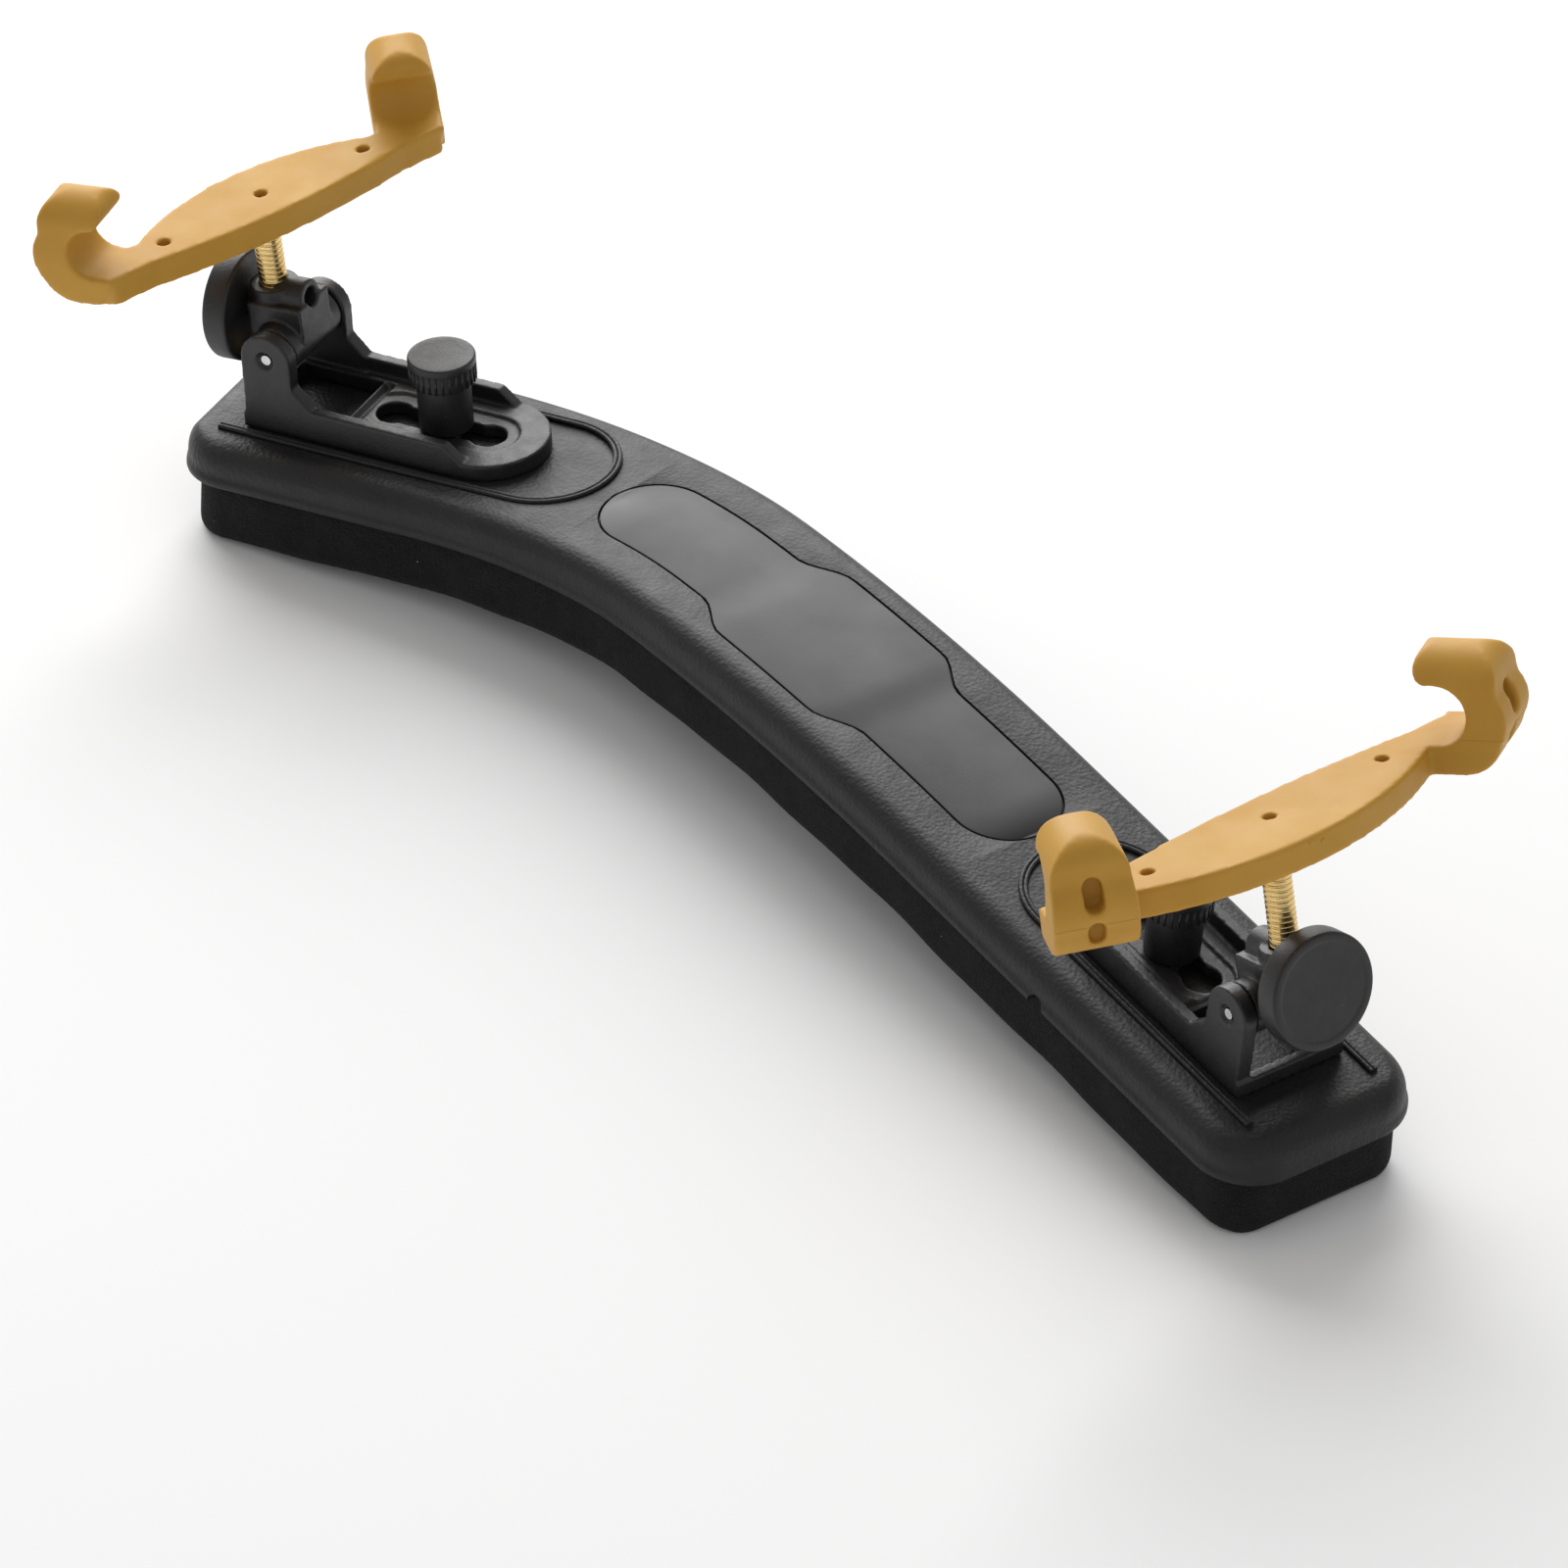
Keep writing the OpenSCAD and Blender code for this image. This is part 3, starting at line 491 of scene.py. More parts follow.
bead_tree, start, stop = new_tree("bead_along_path", [("Bead radius", "Float"), ("Material", "Material")])
to_curve = bead_tree.nodes.new("GeometryNodeMeshToCurve")
ring = bead_tree.nodes.new("GeometryNodeCurvePrimitiveCircle")
ring.inputs["Resolution"].default_value = 10
sweep = bead_tree.nodes.new("GeometryNodeCurveToMesh")
sweep.inputs["Fill Caps"].default_value = True
bead_tree.links.new(start.outputs["Geometry"], to_curve.inputs[0])
bead_tree.links.new(start.outputs["Bead radius"], ring.inputs["Radius"])
bead_tree.links.new(to_curve.outputs[0], sweep.inputs["Curve"])
bead_tree.links.new(ring.outputs[0], sweep.inputs["Profile Curve"])
finish_tree(bead_tree, start, stop, sweep.outputs[0])


def path_object(name, chains):
    verts, edges = [], []
    for chain in chains:
        first = len(verts)
        verts += [tuple(p) for p in chain]
        edges += [(first + i, first + i + 1) for i in range(len(chain) - 1)]
    mesh = bpy.data.meshes.new(name)
    mesh.from_pydata(verts, edges, [])
    return put_in_scene(name, mesh)


print("bead tree has", len(bead_tree.nodes), "nodes")

# %% [markdown]
# ## Shared effects for the materials
# Three node groups are made once and placed in several materials, each with its own
# values: slow drifts of tone, a cellular leather grain, and sparse pale dust. They put
# out only masks and heights. The shader itself stays in each material.


# %% Node groups
def new_effect(name, inputs, output):
    group = bpy.data.node_groups.new(name, "ShaderNodeTree")
    group.interface.new_socket("Vector", in_out="INPUT", socket_type="NodeSocketVector")
    for label, value in inputs:
        socket = group.interface.new_socket(label, in_out="INPUT", socket_type="NodeSocketFloat")
        socket.default_value = value
    group.interface.new_socket(output, in_out="OUTPUT", socket_type="NodeSocketFloat")
    return group, group.nodes.new("NodeGroupInput"), group.nodes.new("NodeGroupOutput")


def add(tree, kind, links=(), **values):
    """Adds a node, sets its properties and sockets by name, and links sockets into it."""
    node = tree.nodes.new(kind)
    for key, value in values.items():
        if hasattr(node, key):
            setattr(node, key, value)
        else:
            node.inputs[key.replace("_", " ")].default_value = value
    for source, target in links:
        tree.links.new(source, node.inputs[target])
    return node


drift, start, stop = new_effect("tone_drift", [("Scale", 60), ("Low", 0), ("High", 1)], "Value")
noise = add(drift, "ShaderNodeTexNoise",
            [(start.outputs["Vector"], "Vector"), (start.outputs["Scale"], "Scale")],
            Detail=5.0, Roughness=0.6)
spread = add(drift, "ShaderNodeMapRange", [(noise.outputs[0], "Value"), (start.outputs["Low"], "To Min"),
                                           (start.outputs["High"], "To Max")], From_Min=0.3, From_Max=0.7)
drift.links.new(spread.outputs[0], stop.inputs[0])

grain, start, stop = new_effect("leather_grain", [("Scale", 1600), ("Fine", 0.4)], "Height")
cells = add(grain, "ShaderNodeTexVoronoi",
            [(start.outputs["Vector"], "Vector"), (start.outputs["Scale"], "Scale")],
            feature="SMOOTH_F1", Smoothness=0.35)
double = add(grain, "ShaderNodeMath", [(start.outputs["Scale"], 0)], operation="MULTIPLY")
double.inputs[1].default_value = 2.3
speck = add(grain, "ShaderNodeTexNoise",
            [(start.outputs["Vector"], "Vector"), (double.outputs[0], "Scale")], Detail=3.0)
share = add(grain, "ShaderNodeMath", [(speck.outputs[0], 0), (start.outputs["Fine"], 1)],
            operation="MULTIPLY")
whole = add(grain, "ShaderNodeMath", [(cells.outputs["Distance"], 0), (share.outputs[0], 1)],
            operation="ADD")
grain.links.new(whole.outputs[0], stop.inputs[0])

dust, start, stop = new_effect("pale_dust", [("Scale", 900), ("Size", 0.06), ("Rarity", 0.6)], "Mask")
dots = add(dust, "ShaderNodeTexVoronoi",
           [(start.outputs["Vector"], "Vector"), (start.outputs["Scale"], "Scale")])
small = add(dust, "ShaderNodeMath", [(dots.outputs["Distance"], 0), (start.outputs["Size"], 1)],
            operation="LESS_THAN")
tone = add(dust, "ShaderNodeSeparateColor", [(dots.outputs["Color"], 0)])
rare = add(dust, "ShaderNodeMath", [(tone.outputs[0], 0), (start.outputs["Rarity"], 1)],
           operation="GREATER_THAN")
mask = add(dust, "ShaderNodeMath", [(small.outputs[0], 0), (rare.outputs[0], 1)],
           operation="MULTIPLY")
dust.links.new(mask.outputs[0], stop.inputs[0])
print("effects:", [g.name for g in bpy.data.node_groups if g.bl_idname == "ShaderNodeTree"])


# %% [markdown]
# ## Materials
# Each finish is a Principled shader fed by those effects on Object coordinates: two
# colours that drift into each other, a roughness that drifts too, and a bump. What is
# the same all over a surface is set on the shader's own sockets.


# %% A finish from two colours, roughness and bump
# the sockets of a Mix node's two colours, which share their names with its other types
MIX_A, MIX_B = 6, 7


def effect(tree, group, where, **values):
    node = tree.nodes.new("ShaderNodeGroup")
    node.node_tree = group
    tree.links.new(where, node.inputs["Vector"])
    for key, value in values.items():
        node.inputs[key].default_value = value
    return node.outputs[0]


def finish(name, dark, light, rough, drift_scale, bump=None, specks=None, **fixed):
    material = bpy.data.materials.new(name)
    material.use_nodes = True
    tree = material.node_tree
    shader = tree.nodes["Principled BSDF"]
    where = tree.nodes.new("ShaderNodeTexCoord").outputs["Object"]
    tones = effect(tree, drift, where, Scale=drift_scale)
    colours = add(tree, "ShaderNodeMix", [(tones, 0)], data_type="RGBA")
    colours.inputs[MIX_A].default_value = (*dark, 1)
    colours.inputs[MIX_B].default_value = (*light, 1)
    colour = colours.outputs[2]
    if specks:
        dusty = effect(tree, dust, where, **specks[1])
        pale = add(tree, "ShaderNodeMix", [(dusty, 0), (colour, MIX_A)], data_type="RGBA")
        pale.inputs[MIX_B].default_value = (*specks[0], 1)
        colour = pale.outputs[2]
    tree.links.new(colour, shader.inputs["Base Color"])
    tree.links.new(effect(tree, drift, where, Scale=drift_scale * 2.7, Low=rough[0], High=rough[1]),
                   shader.inputs["Roughness"])
    if bump:
        height = effect(tree, grain, where, **bump[1])
        lift = add(tree, "ShaderNodeBump", [(height, "Height")], Strength=bump[0], Distance=bump[2])
        tree.links.new(lift.outputs[0], shader.inputs["Normal"])
    for key, value in fixed.items():
        shader.inputs[key.replace("_", " ")].default_value = value
    return material


grained_black = finish("grained_black_moulding", (0.011, 0.011, 0.012), (0.017, 0.017, 0.018),
                       (0.42, 0.52), 90, (0.55, {"Scale": 1500, "Fine": 0.5}, 0.00012),
                       Specular_IOR_Level=0.33)
satin_black = finish("satin_black_panel", (0.020, 0.020, 0.022), (0.027, 0.027, 0.029),
                     (0.36, 0.44), 40, (0.15, {"Scale": 2600, "Fine": 0.8}, 0.00004),
                     Specular_IOR_Level=0.27)
black_nylon = finish("black_nylon", (0.010, 0.010, 0.011), (0.016, 0.016, 0.017),
                     (0.38, 0.50), 160, (0.3, {"Scale": 2400, "Fine": 0.8}, 0.00006),
                     ((0.10, 0.10, 0.10), {"Scale": 1100, "Size": 0.07, "Rarity": 0.93}))
velvet_foam = finish("velvety_foam", (0.004, 0.004, 0.0042), (0.010, 0.010, 0.0105),
                     (0.85, 1.0), 300, (0.9, {"Scale": 3300, "Fine": 1.2}, 0.00025),
                     ((0.35, 0.35, 0.34), {"Scale": 420, "Size": 0.045, "Rarity": 0.965}),
                     Specular_IOR_Level=0.15, Sheen_Weight=0.06, Sheen_Roughness=0.5)
steel = finish("turned_steel", (0.50, 0.50, 0.51), (0.62, 0.62, 0.63),
               (0.25, 0.38), 500, (0.2, {"Scale": 3000, "Fine": 0.6}, 0.00003), Metallic=1.0)
brass = finish("bright_brass", (0.70, 0.47, 0.17), (0.86, 0.64, 0.29),
               (0.20, 0.34), 450, (0.15, {"Scale": 2600, "Fine": 0.6}, 0.00003), Metallic=1.0)
amber_rubber = finish("amber_rubber", (0.50, 0.26, 0.033), (0.57, 0.315, 0.050),
                      (0.46, 0.58), 55, (0.12, {"Scale": 1300, "Fine": 0.9}, 0.00005),
                      Subsurface_Weight=0.15, Subsurface_Scale=0.002, Subsurface_Radius=(1.0, 0.5, 0.15),
                      Specular_IOR_Level=0.25)
print("materials:", [m.name for m in bpy.data.materials])


# %% Give the three long pieces their finish and body, and hide the CAD parts they replace
def settle(obj, material, slot, body, *nodes):
    obj.data.materials.clear()
    obj.data.materials.append(material)
    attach(obj, body)
    if nodes:
        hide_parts(*nodes)
    return obj


settle(base, grained_black, "grained_black", "base", "base_shell")
settle(panel, satin_black, "satin_black", "base", "top_panel")
settle(pad, velvet_foam, "foam", "base", "foam_pad")
print("base, panel and pad are in place")

# %% [markdown]
# ## Track rims
# Each rim is a U of two beads round the flat where the bracket slides. It lies in the
# clamp's frame, straight along the ramp, and is open at the bar's outer end.

# %% Track rims
track_half, track_end, rim_reach = 10.25, -16.5, 33.0
bead_r, outer_bead, bead_up, turn_steps = 0.38, 1.04, 0.28, 40


def track_path(side, r):
    flat = [(rim_reach, r), (rim_reach / 2, r), (0, r), (track_end / 2, r)]
    turn = [(track_end - r * math.sin(math.pi * i / turn_steps), r * math.cos(math.pi * i / turn_steps))
            for i in range(turn_steps + 1)]
    line = flat + turn + [(x, -y) for x, y in reversed(flat)]
    return [clamp_frame[side] @ Vector((x * mm, y * mm, bead_up * mm)) for x, y in line]


for side in SIDES:
    rim = path_object(side + "_track_rim", [track_path(side, track_half + bead_r),
                                            track_path(side, track_half + outer_bead)])
    grown(rim, bead_tree, {"Bead radius": bead_r * mm, "Material": grained_black})
    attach(rim, "base")
    print(rim.name, len(rim.data.polygons), "faces")

# %% [markdown]
# ## Moulded parts with soft edges
# Brackets, hinge blocks and rubber forks come out of a mould, so no edge on them is
# truly sharp. A copy of each CAD mesh is turned into an even voxel skin, and its points
# are then drawn towards their neighbours a number of times. More passes give the
# softer rubber. Pairs of steps, one in and one back out, then take away the skin's
# small waves and keep its size. Round holes are held back, so that they stay true.


# %% Soft skin from a CAD node
def soft_copy(node, name, voxel, passes, pairs, held=(), keep=1.0):
    mesh = frame["nodes"][node].data.copy()
    bm = bmesh.new()
    bm.from_mesh(mesh)
    bmesh.ops.remove_doubles(bm, verts=bm.verts, dist=merge_distance)
    bm.to_mesh(mesh)
    bm.free()
    obj = put_in_scene(name, mesh)
    skin = obj.modifiers.new("skin", "REMESH")
    skin.mode, skin.voxel_size, skin.adaptivity = "VOXEL", voxel * mm, 0.0
    applied(obj)
    n, m = len(obj.data.vertices), len(obj.data.edges)
    co, ends = np.empty(n * 3, np.float32), np.empty(m * 2, np.int32)
    obj.data.vertices.foreach_get("co", co)
    obj.data.edges.foreach_get("vertices", ends)
    co, (a, b) = co.reshape(n, 3).astype(float), ends.reshape(m, 2).T
    count = np.bincount(np.concatenate([a, b]), minlength=n)[:, None]
    weight = np.full((n, 1), 0.6)
    for origin, axis, inner, outer in held:
        d = co - np.array(origin)
        d -= np.outer(d @ np.array(axis), np.array(axis))
        away = (np.linalg.norm(d, axis=1) - inner * mm) / ((outer - inner) * mm)
        weight[:, 0] *= np.clip(away, 0.04, 1.0)
    for step in [1.0] * passes + [1.0, -1.02] * pairs:
        total = np.stack([np.bincount(a, co[b, i], n) + np.bincount(b, co[a, i], n)
                          for i in range(3)], 1)
        co += step * weight * (total / count - co)
    obj.data.vertices.foreach_set("co", co.astype(np.float32).ravel())
    if keep < 1:
        fewer = obj.modifiers.new("fewer", "DECIMATE")
        fewer.ratio = keep
        applied(obj)
    shade(obj, 60)
    print(name, "has", len(obj.data.polygons), "faces")
    return obj


def axis_of(m, column=2):
    return tuple(m.to_3x3().col[column].normalized())


# %% Brackets and hinge blocks
for side in SIDES:
    bracket = soft_copy(side + "_bracket", side + "_slide_bracket", 0.22, 3, 4, keep=0.6)
    settle(bracket, black_nylon, "black_nylon", side + "_bracket_body", side + "_bracket")
    block = soft_copy(side + "_hinge_block", side + "_post_block", 0.2, 4, 5, keep=0.7)
    settle(block, black_nylon, "black_nylon", side + "_block_body", side + "_hinge_block")

# %% Rubber forks
hole_row_x, hole_reach = -0.8, {"left": 18.3, "right": 22.0}
covers = {}
for side in SIDES:
    f = fork_frame[side]
    holes = [f @ Vector((hole_row_x * mm, y * hole_reach[side] * mm, 0)) for y in (-1, 1)]
    held = [(tuple(p), axis_of(f), 1.2, 2.6) for p in holes]
    held.append((tuple(f.translation), axis_of(f), 1.2, 3.0))
    cover = soft_copy(side + "_fork_cover", side + "_rubber_fork", 0.3, 7, 16, held, 0.7)
    covers[side] = settle(cover, amber_rubber, "amber_rubber", side + "_fork_body", side + "_fork_cover")

# %% [markdown]
# ## Clamp knobs
# A knob is a turned barrel with a wider head. The lower part of the head's rim is
# knurled with upright ribs for the fingers, and a smooth band runs above them. The
# head is a lathe of one profile. The ribs repeat, so a tree sets one on each point
# of a circle.

# %% Knurl tree
knurl_tree, start, stop = new_tree(
    "knurl_round_head", [("Ribs", "Int"), ("Ring radius", "Float"), ("Rib radius", "Float"),
                         ("Rib length", "Float"), ("Rib height", "Float"), ("Material", "Material")])
circle = add(knurl_tree, "GeometryNodeMeshCircle", [(start.outputs["Ribs"], "Vertices"),
                                                    (start.outputs["Ring radius"], "Radius")])
rib = add(knurl_tree, "GeometryNodeMeshCylinder", [(start.outputs["Rib radius"], "Radius"),
                                                   (start.outputs["Rib length"], "Depth")], Vertices=8)
height = add(knurl_tree, "ShaderNodeCombineXYZ", [(start.outputs["Rib height"], "Z")])
raised = add(knurl_tree, "GeometryNodeSetPosition", [(circle.outputs[0], 0),
                                                     (height.outputs[0], "Offset")])
each = add(knurl_tree, "GeometryNodeInstanceOnPoints", [(raised.outputs[0], 0),
                                                        (rib.outputs[0], "Instance")])
both = add(knurl_tree, "GeometryNodeJoinGeometry")
knurl_tree.links.new(each.outputs[0], both.inputs[0])
knurl_tree.links.new(start.outputs["Geometry"], both.inputs[0])
finish_tree(knurl_tree, start, stop, both.outputs[0])
print("knurl tree has", len(knurl_tree.nodes), "nodes")


# %% Knobs
def rounded(points, r, steps=4):
    """Rounds each inner corner of a profile to radius r."""
    out = [points[0]]
    for p, q, t in zip(points, points[1:], points[2:]):
        a, b, c = Vector(p), Vector(q), Vector(t)
        k = min(r, (a - b).length * 0.45, (c - b).length * 0.45)
        u, v = b + (a - b).normalized() * k, b + (c - b).normalized() * k
        for i in range(steps + 1):
            w = i / steps
            out.append(tuple((1 - w) ** 2 * u + 2 * w * (1 - w) * b + w ** 2 * v))
    return out + [points[-1]]


knob_bore_r, knob_bore_top, knob_bottom, knob_top = 2.05, 11.85, 2.4, 14.8
barrel_r, head_bottom, knurl_r, head_r = 4.1, 10.5, 4.92, 5.14
knob_profile = rounded([(0, knob_bore_top), (knob_bore_r, knob_bore_top), (knob_bore_r, knob_bottom),
                        (barrel_r, knob_bottom), (barrel_r, head_bottom), (knurl_r, head_bottom),
                        (knurl_r, 13.5), (head_r, 13.55), (head_r, knob_top), (3.6, knob_top),
                        (0, 14.72)], 0.45)
for side in SIDES:
    knob = lathe(side + "_knob", knob_profile, Matrix.Identity(4), 72, 50)
    grown(knob, knurl_tree, {"Ribs": 30, "Ring radius": 4.94 * mm, "Rib radius": 0.2 * mm,
                             "Rib length": 2.9 * mm, "Rib height": 12.05 * mm,
                             "Material": black_nylon})
    knob.data.transform(clamp_frame[side])
    settle(knob, black_nylon, "black_nylon", side + "_knob_body", side + "_clamp_knob")
    print(knob.name, len(knob.data.polygons), "faces")

# %% [markdown]
# ## Thumbwheels
# A plain disc on the lock screw. It is turned from one profile about the leg's own
# outward axis, with eased edges and a faint dished face, as the real one shows.

# %% Thumbwheels
block_w, wheel_gap = 7.4, 0.4
wheel_z, wheel_x = 3.4, post_offset + block_w / 2 + wheel_gap
wheel_r, wheel_t, wheel_bore_r, wheel_bore_top = 8.7, 4, 1.55, 3.2
wheel_profile = rounded([(0, wheel_bore_top), (wheel_bore_r, wheel_bore_top), (wheel_bore_r, 0),
                         (wheel_r, 0), (wheel_r, wheel_t), (7.6, wheel_t), (7.2, 3.9), (0, 3.88)], 0.55)
outward = Matrix.Rotation(math.pi / 2, 4, "Y")
for side in SIDES:
    place = leg_frame[side] @ Matrix.Translation((wheel_x * mm, 0, wheel_z * mm)) @ outward
    wheel = lathe(side + "_wheel", wheel_profile, place, 96, 50)
    settle(wheel, black_nylon, "black_nylon", side + "_wheel_body", side + "_thumbwheel")
    print(wheel.name, len(wheel.data.polygons), "faces")

# %% [markdown]
# ## Threaded posts
# The fork stands on a fine brass screw. The CAD post is a plain rod. Here a spiral with
# the thread's pitch is swept with a small round profile and joined to a thinner core,
# which gives the bright ridges that the photograph shows.

# %% Thread tree
thread_tree, start, stop = new_tree(
    "thread_on_core", [("Turns", "Float"), ("Spiral radius", "Float"), ("Height", "Float"),
                       ("Ridge radius", "Float"), ("Material", "Material")])
spiral = add(thread_tree, "GeometryNodeCurveSpiral",
             [(start.outputs["Turns"], "Rotations"), (start.outputs["Height"], "Height"),
              (start.outputs["Spiral radius"], "Start Radius"),
              (start.outputs["Spiral radius"], "End Radius")], Resolution=28)
ridge = add(thread_tree, "GeometryNodeCurvePrimitiveCircle",
            [(start.outputs["Ridge radius"], "Radius")], Resolution=8)
wound = add(thread_tree, "GeometryNodeCurveToMesh", [(spiral.outputs[0], "Curve"),
                                                     (ridge.outputs[0], "Profile Curve")])
wound.inputs["Fill Caps"].default_value = True
both = add(thread_tree, "GeometryNodeJoinGeometry")
thread_tree.links.new(wound.outputs[0], both.inputs[0])
thread_tree.links.new(start.outputs["Geometry"], both.inputs[0])
finish_tree(thread_tree, start, stop, both.outputs[0])

# %% Posts
post_length, post_sink, pitch, post_r, core_r, ridge_r = 27.0, 1.5, 0.8, 2.15, 2.06, 0.3
thread_length = post_length - 0.8
core_profile = rounded([(0, 0), (core_r, 0), (core_r, post_length), (0, post_length)], 0.3)
for side in SIDES:
    post = lathe(side + "_screw_post", core_profile, Matrix.Identity(4), 32)
    grown(post, thread_tree, {"Turns": thread_length / pitch, "Height": thread_length * mm,
                              "Spiral radius": (post_r - ridge_r) * mm, "Ridge radius": ridge_r * mm,
                              "Material": brass})
    post.data.transform(fork_frame[side] @ Matrix.Translation((0, 0, (-post_sink - post_length) * mm)))
    settle(post, brass, "brass", side + "_post_body", side + "_post")
    print(post.name, len(post.data.polygons), "faces")

# %% [markdown]
# ## Plain metal parts
# Studs, nuts, hinge pins, bushes, lock screws and the forks' steel cores have the right
# shape in CAD already, so they stay and only get turned steel or brass.

# %% Metal finishes on CAD nodes
metals = {"clamp_stud": steel, "clamp_nut": steel, "hinge_pins": steel, "lock_screw": steel,
          "fork_core": steel, "socket_bush": brass}
for side in SIDES:
    for part, metal in metals.items():
        for slot in frame["nodes"][f"{side}_{part}"].material_slots:
            slot.material = metal
print("metal nodes:", 2 * len(metals))

# %% [markdown]
# ## Things placed by a ray
# Small marks on a surface in view are placed by one function. A ray from the camera
# through an image point meets the finished piece that carries the mark. If it misses,
# the nearest place on that piece is taken.


# %% The ray
def on_piece(obj, x, y):
    tree = BVHTree.FromObject(obj, bpy.context.evaluated_depsgraph_get())
    shift_x = shift_y = 0.0
    d = Vector((x - W / 2 + shift_x * L, H / 2 - y + shift_y * L, -L * camera_lens / camera_sensor))
    way = (camera.matrix_world.to_3x3() @ d).normalized()
    hit = tree.ray_cast(lens_at, way)
    if hit[0] is None:
        reach = (Vector(on_bar(0, 0, 0)) - lens_at).dot(way)
        hit = tree.find_nearest(lens_at + reach * way)
    return hit[0], hit[1]


# %% Moulding dots on the right fork's front face
dot_profile = [(0, 0.16), (0.25, 0.13), (0.42, 0.03), (0.46, -0.12)]
for name in ("right_dot_1", "right_dot_2"):
    spot, face_way = on_piece(covers["right"], *points[name])
    dot = lathe(name, dot_profile, frame_of(spot, face_way.orthogonal(), face_way), 20, 60)
    settle(dot, amber_rubber, "amber_rubber", "right_fork_body")
    print(name, "at", [round(v, 4) for v in spot])

# %% [markdown]
# ## Parting line of the right fork
# The rubber is moulded in two halves, which leaves a faint raised line round the right
# fork a little above its plate. The finished skin is cut by that plane, and a very thin
# bead runs along the cut.

# %% Parting line
parting_height, parting_r = 1.1, 0.05
bm = bmesh.new()
bm.from_mesh(covers["right"].data)
plane_at = fork_frame["right"] @ Vector((0, 0, parting_height * mm))
made = bmesh.ops.bisect_plane(bm, geom=bm.verts[:] + bm.edges[:] + bm.faces[:],
                              plane_co=plane_at, plane_no=Vector(axis_of(fork_frame["right"])))
verts, index, edges = [], {}, []
for e in made["geom_cut"]:
    if isinstance(e, bmesh.types.BMEdge):
        for v in e.verts:
            if v.co[:] not in index:
                index[v.co[:]] = len(verts)
                verts.append(v.co[:])
        edges.append((index[e.verts[0].co[:]], index[e.verts[1].co[:]]))
bm.free()
mesh = bpy.data.meshes.new("right_parting_line")
mesh.from_pydata(verts, edges, [])
line = put_in_scene("right_parting_line", mesh)
grown(line, bead_tree, {"Bead radius": parting_r * mm, "Material": amber_rubber})
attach(line, "right_fork_body")
print(line.name, len(line.data.polygons), "faces")

# %% [markdown]
# ## Floor and light
# The rest lies on a white floor. A wide softbox stands behind it, high on the left, so
# tops shine softly and the sides towards the camera stay dark. The world fills the
# shadows. To the camera it is plain white.

# %% Floor, world and lamp
floor_reach = 8
floor_mesh = bpy.data.meshes.new("white_floor")
floor_mesh.from_pydata([(-floor_reach, -floor_reach, 0), (floor_reach, -floor_reach, 0),
                        (floor_reach, floor_reach, 0), (-floor_reach, floor_reach, 0)],
                       [], [(0, 1, 2, 3)])
floor = put_in_scene("white_floor", floor_mesh)
floor_paint = bpy.data.materials.new("white_floor")
floor_paint.use_nodes = True
floor_shader = floor_paint.node_tree.nodes["Principled BSDF"]
floor_shader.inputs["Base Color"].default_value = (0.98, 0.98, 0.98, 1)
floor_shader.inputs["Roughness"].default_value = 1.0
floor_shader.inputs["Specular IOR Level"].default_value = 0.0
floor_mesh.materials.append(floor_paint)
floor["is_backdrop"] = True
world = bpy.data.worlds.new("soft_studio")
bpy.context.scene.world = world
world.use_nodes = True
sky = world.node_tree
ambient = sky.nodes["Background"]
ambient.inputs["Color"].default_value = (1, 1, 1, 1)
ambient.inputs["Strength"].default_value = 0.50
backdrop = add(sky, "ShaderNodeBackground", Color=(1, 1, 1, 1), Strength=1.0)
rays = sky.nodes.new("ShaderNodeLightPath")
mixed = add(sky, "ShaderNodeMixShader", [(rays.outputs["Is Camera Ray"], 0), (ambient.outputs[0], 1),
                                         (backdrop.outputs[0], 2)])
sky.links.new(mixed.outputs[0], sky.nodes["World Output"].inputs["Surface"])
lamp_way, lamp_distance, lamp_size = Vector((-0.9, 0.55, 0.68)).normalized(), 1.6, 1.5
lamp_data = bpy.data.lights.new("softbox", "AREA")
lamp_data.energy, lamp_data.shape, lamp_data.size = 32.0, "SQUARE", lamp_size
lamp = bpy.data.objects.new("softbox", lamp_data)
bpy.context.scene.collection.objects.link(lamp)
lamp.matrix_world = frame_of(lamp_distance * lamp_way, lamp_way.orthogonal(), lamp_way)
bpy.context.scene.view_settings.view_transform = "Standard"
print("floor, world and lamp are set")

# %% [markdown]
# ## Measuring the finished pieces
# Edges, tips and faces are measured on the finished meshes, by the vertices that the
# camera sees. The fork holes and the notch are measured at the centres that the model
# gives them, and the two dots at the middle of their meshes.


# %% What shows, and how far it is from its point
def vertices_of(obj):
    co = np.empty(len(obj.data.vertices) * 3, np.float32)
    obj.data.vertices.foreach_get("co", co)
    return co.reshape(-1, 3).astype(float)


def pixels_of(co):
    d = co - np.array(lens_at)
    scale = L * camera_lens / camera_sensor / -(d @ np.array(to_camera))
    return np.stack([W / 2 + scale * (d @ np.array(cam_right)),
                     H / 2 - scale * (d @ np.array(cam_up))], 1)


def shows(p):
    way = Vector(p) - lens_at
    graph = bpy.context.evaluated_depsgraph_get()
    hit = bpy.context.scene.ray_cast(graph, lens_at, way.normalized())
    return not hit[0] or (hit[1] - lens_at).length > way.length - 0.0006


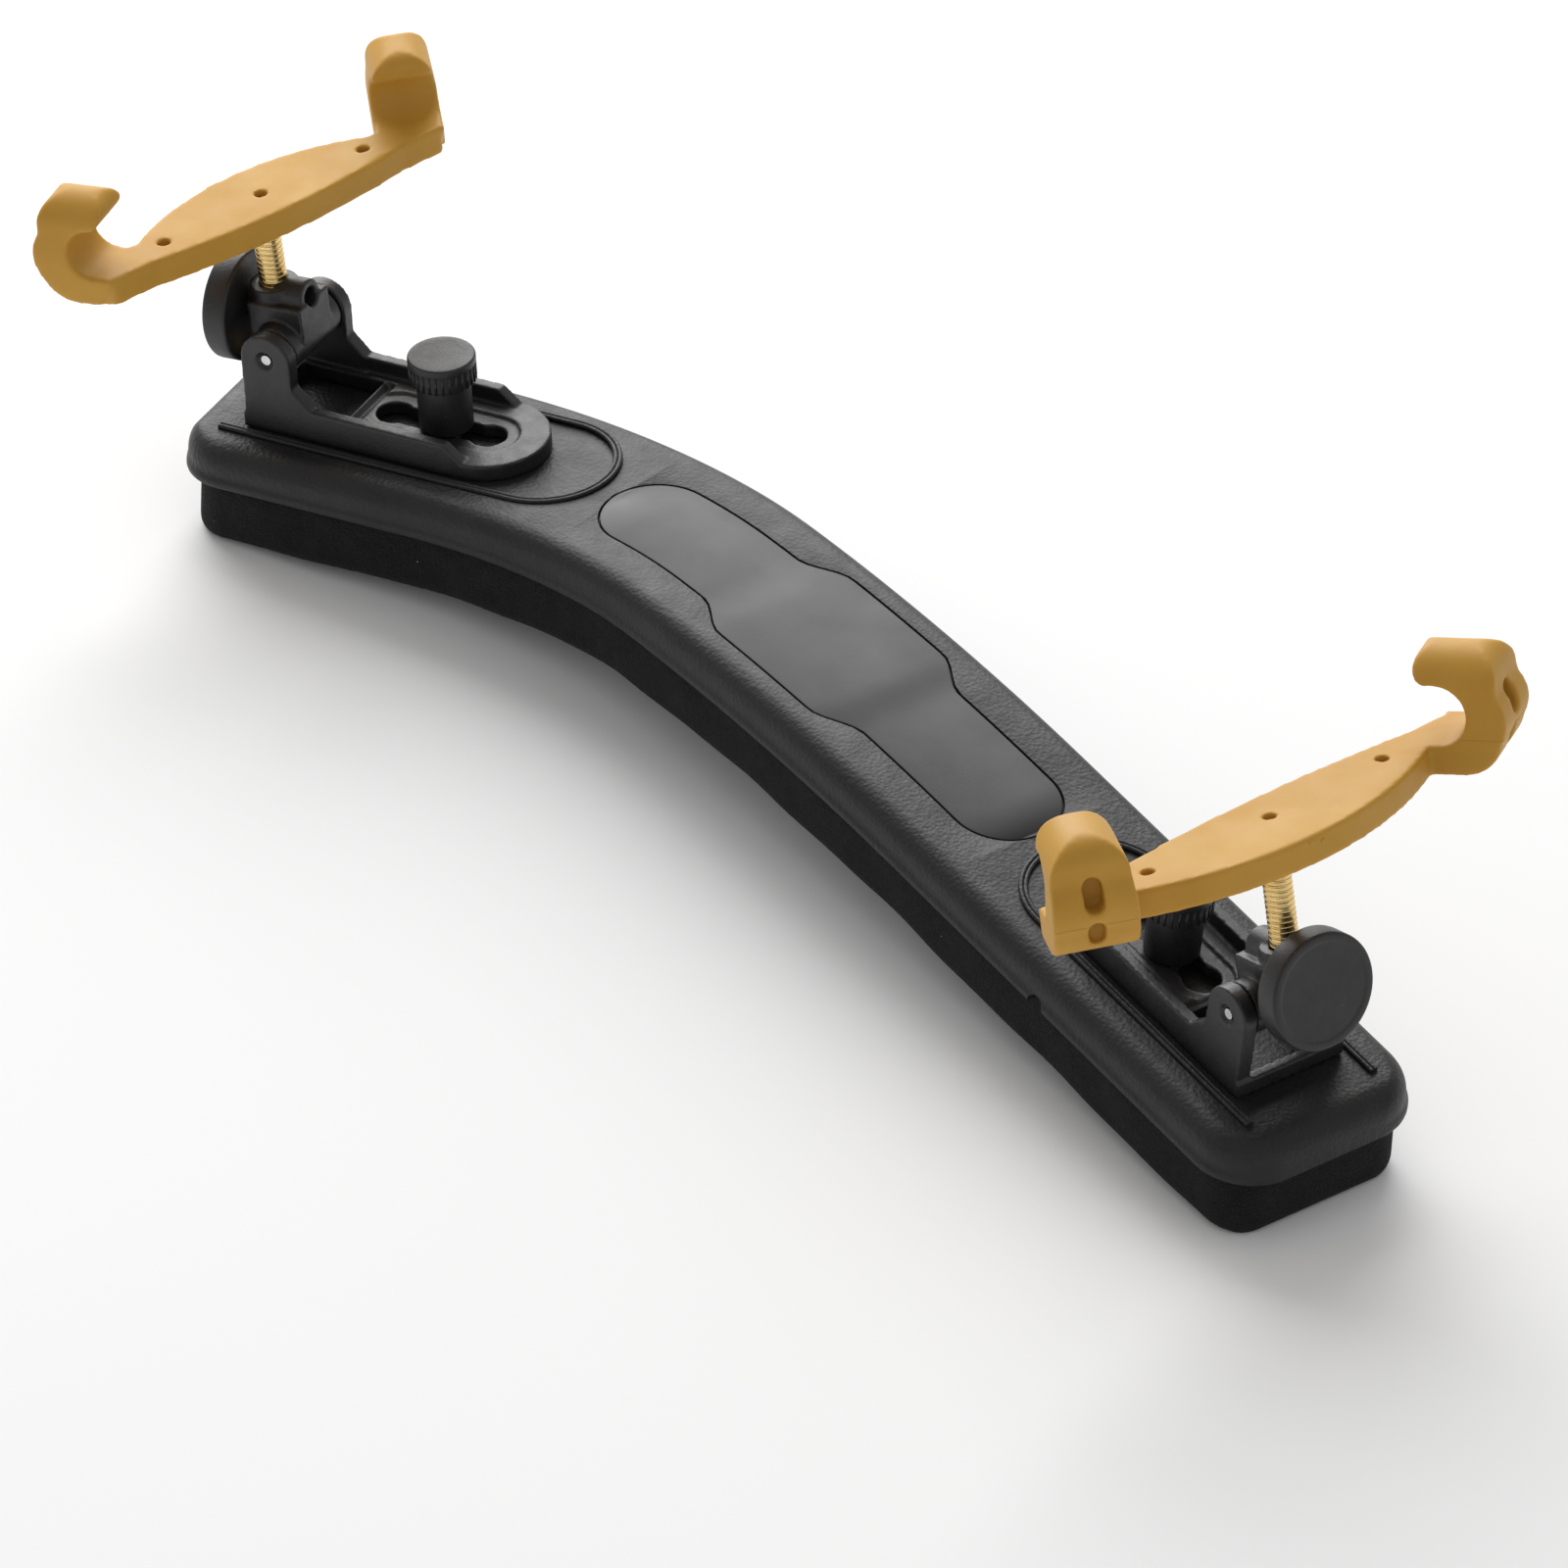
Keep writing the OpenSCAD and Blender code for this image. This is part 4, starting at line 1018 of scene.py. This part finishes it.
def showing_end(objs, axis, sign):
    """Where the outermost vertex along x (0) or y (1) shows, among those in view."""
    co = np.concatenate([vertices_of(o) for o in objs])
    px = pixels_of(co)
    for i in np.argsort(-sign * px[:, axis])[:400]:
        if shows(co[i]):
            return float(px[i, 0]), float(px[i, 1])
    return None


def showing_edge(objs, axis, sign):
    return showing_end(objs, axis, sign)[axis]


def showing_middle(obj, face, reach, thin=0.5):
    """The middle of the vertices in view that lie on a flat face, given by its frame."""
    co = vertices_of(obj)
    off = co - np.array(face.translation)
    up = np.abs(off @ np.array(axis_of(face)))
    co = co[(np.linalg.norm(off, axis=1) < reach * mm) & (up < thin * mm)]
    co = np.array([p for p in co if shows(p)])
    px = pixels_of(co)
    middle = (px.min(0) + px.max(0)) / 2
    return float(middle[0]), float(middle[1])


pieces = {o.name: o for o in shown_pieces()}
everything = list(pieces.values())
found = {
    "object_left_x": (showing_edge(everything, 0, -1), None),
    "object_right_x": (showing_edge(everything, 0, 1), None),
    "object_top_y": (None, showing_edge(everything, 1, -1)),
    "object_bottom_y": (None, showing_edge(everything, 1, 1)),
    "base_left_x": (showing_edge([base], 0, -1), None),
    "base_right_x": (showing_edge([base], 0, 1), None),
}
for side in SIDES:
    # the left fork is turned about, so its own +y end is the near one
    near = 1 if side == "left" else -1
    for label, y in (("near", near), ("middle", 0), ("far", -near)):
        x = hole_row_x if y else 0
        spot = fork_frame[side] @ Vector((x * mm, y * hole_reach[side] * mm, -0.02 * mm))
        found[f"{side}_fork_{label}_hole"] = seen_at(spot)
knob_face = clamp_frame["left"] @ Matrix.Translation((0, 0, knob_top * mm))
found["left_knob_top"] = showing_middle(pieces["left_knob"], knob_face, 5.4)
wheel_face = (leg_frame["right"] @ Matrix.Translation(((wheel_x + wheel_t) * mm, 0, wheel_z * mm))
              @ outward)
found["right_thumbwheel"] = showing_middle(pieces["right_wheel"], wheel_face, 9)
found["left_track_tip"] = showing_end([pieces["left_track_rim"]], 0, 1)
found["panel_left_tip"] = showing_end([panel], 0, -1)
for name in ("right_dot_1", "right_dot_2"):
    found[name] = tuple(pixels_of(vertices_of(pieces[name])).mean(0))
found["skirt_notch"] = seen_at(on_bar(notch_station, -base_half, -skirt_depth + 0.9))
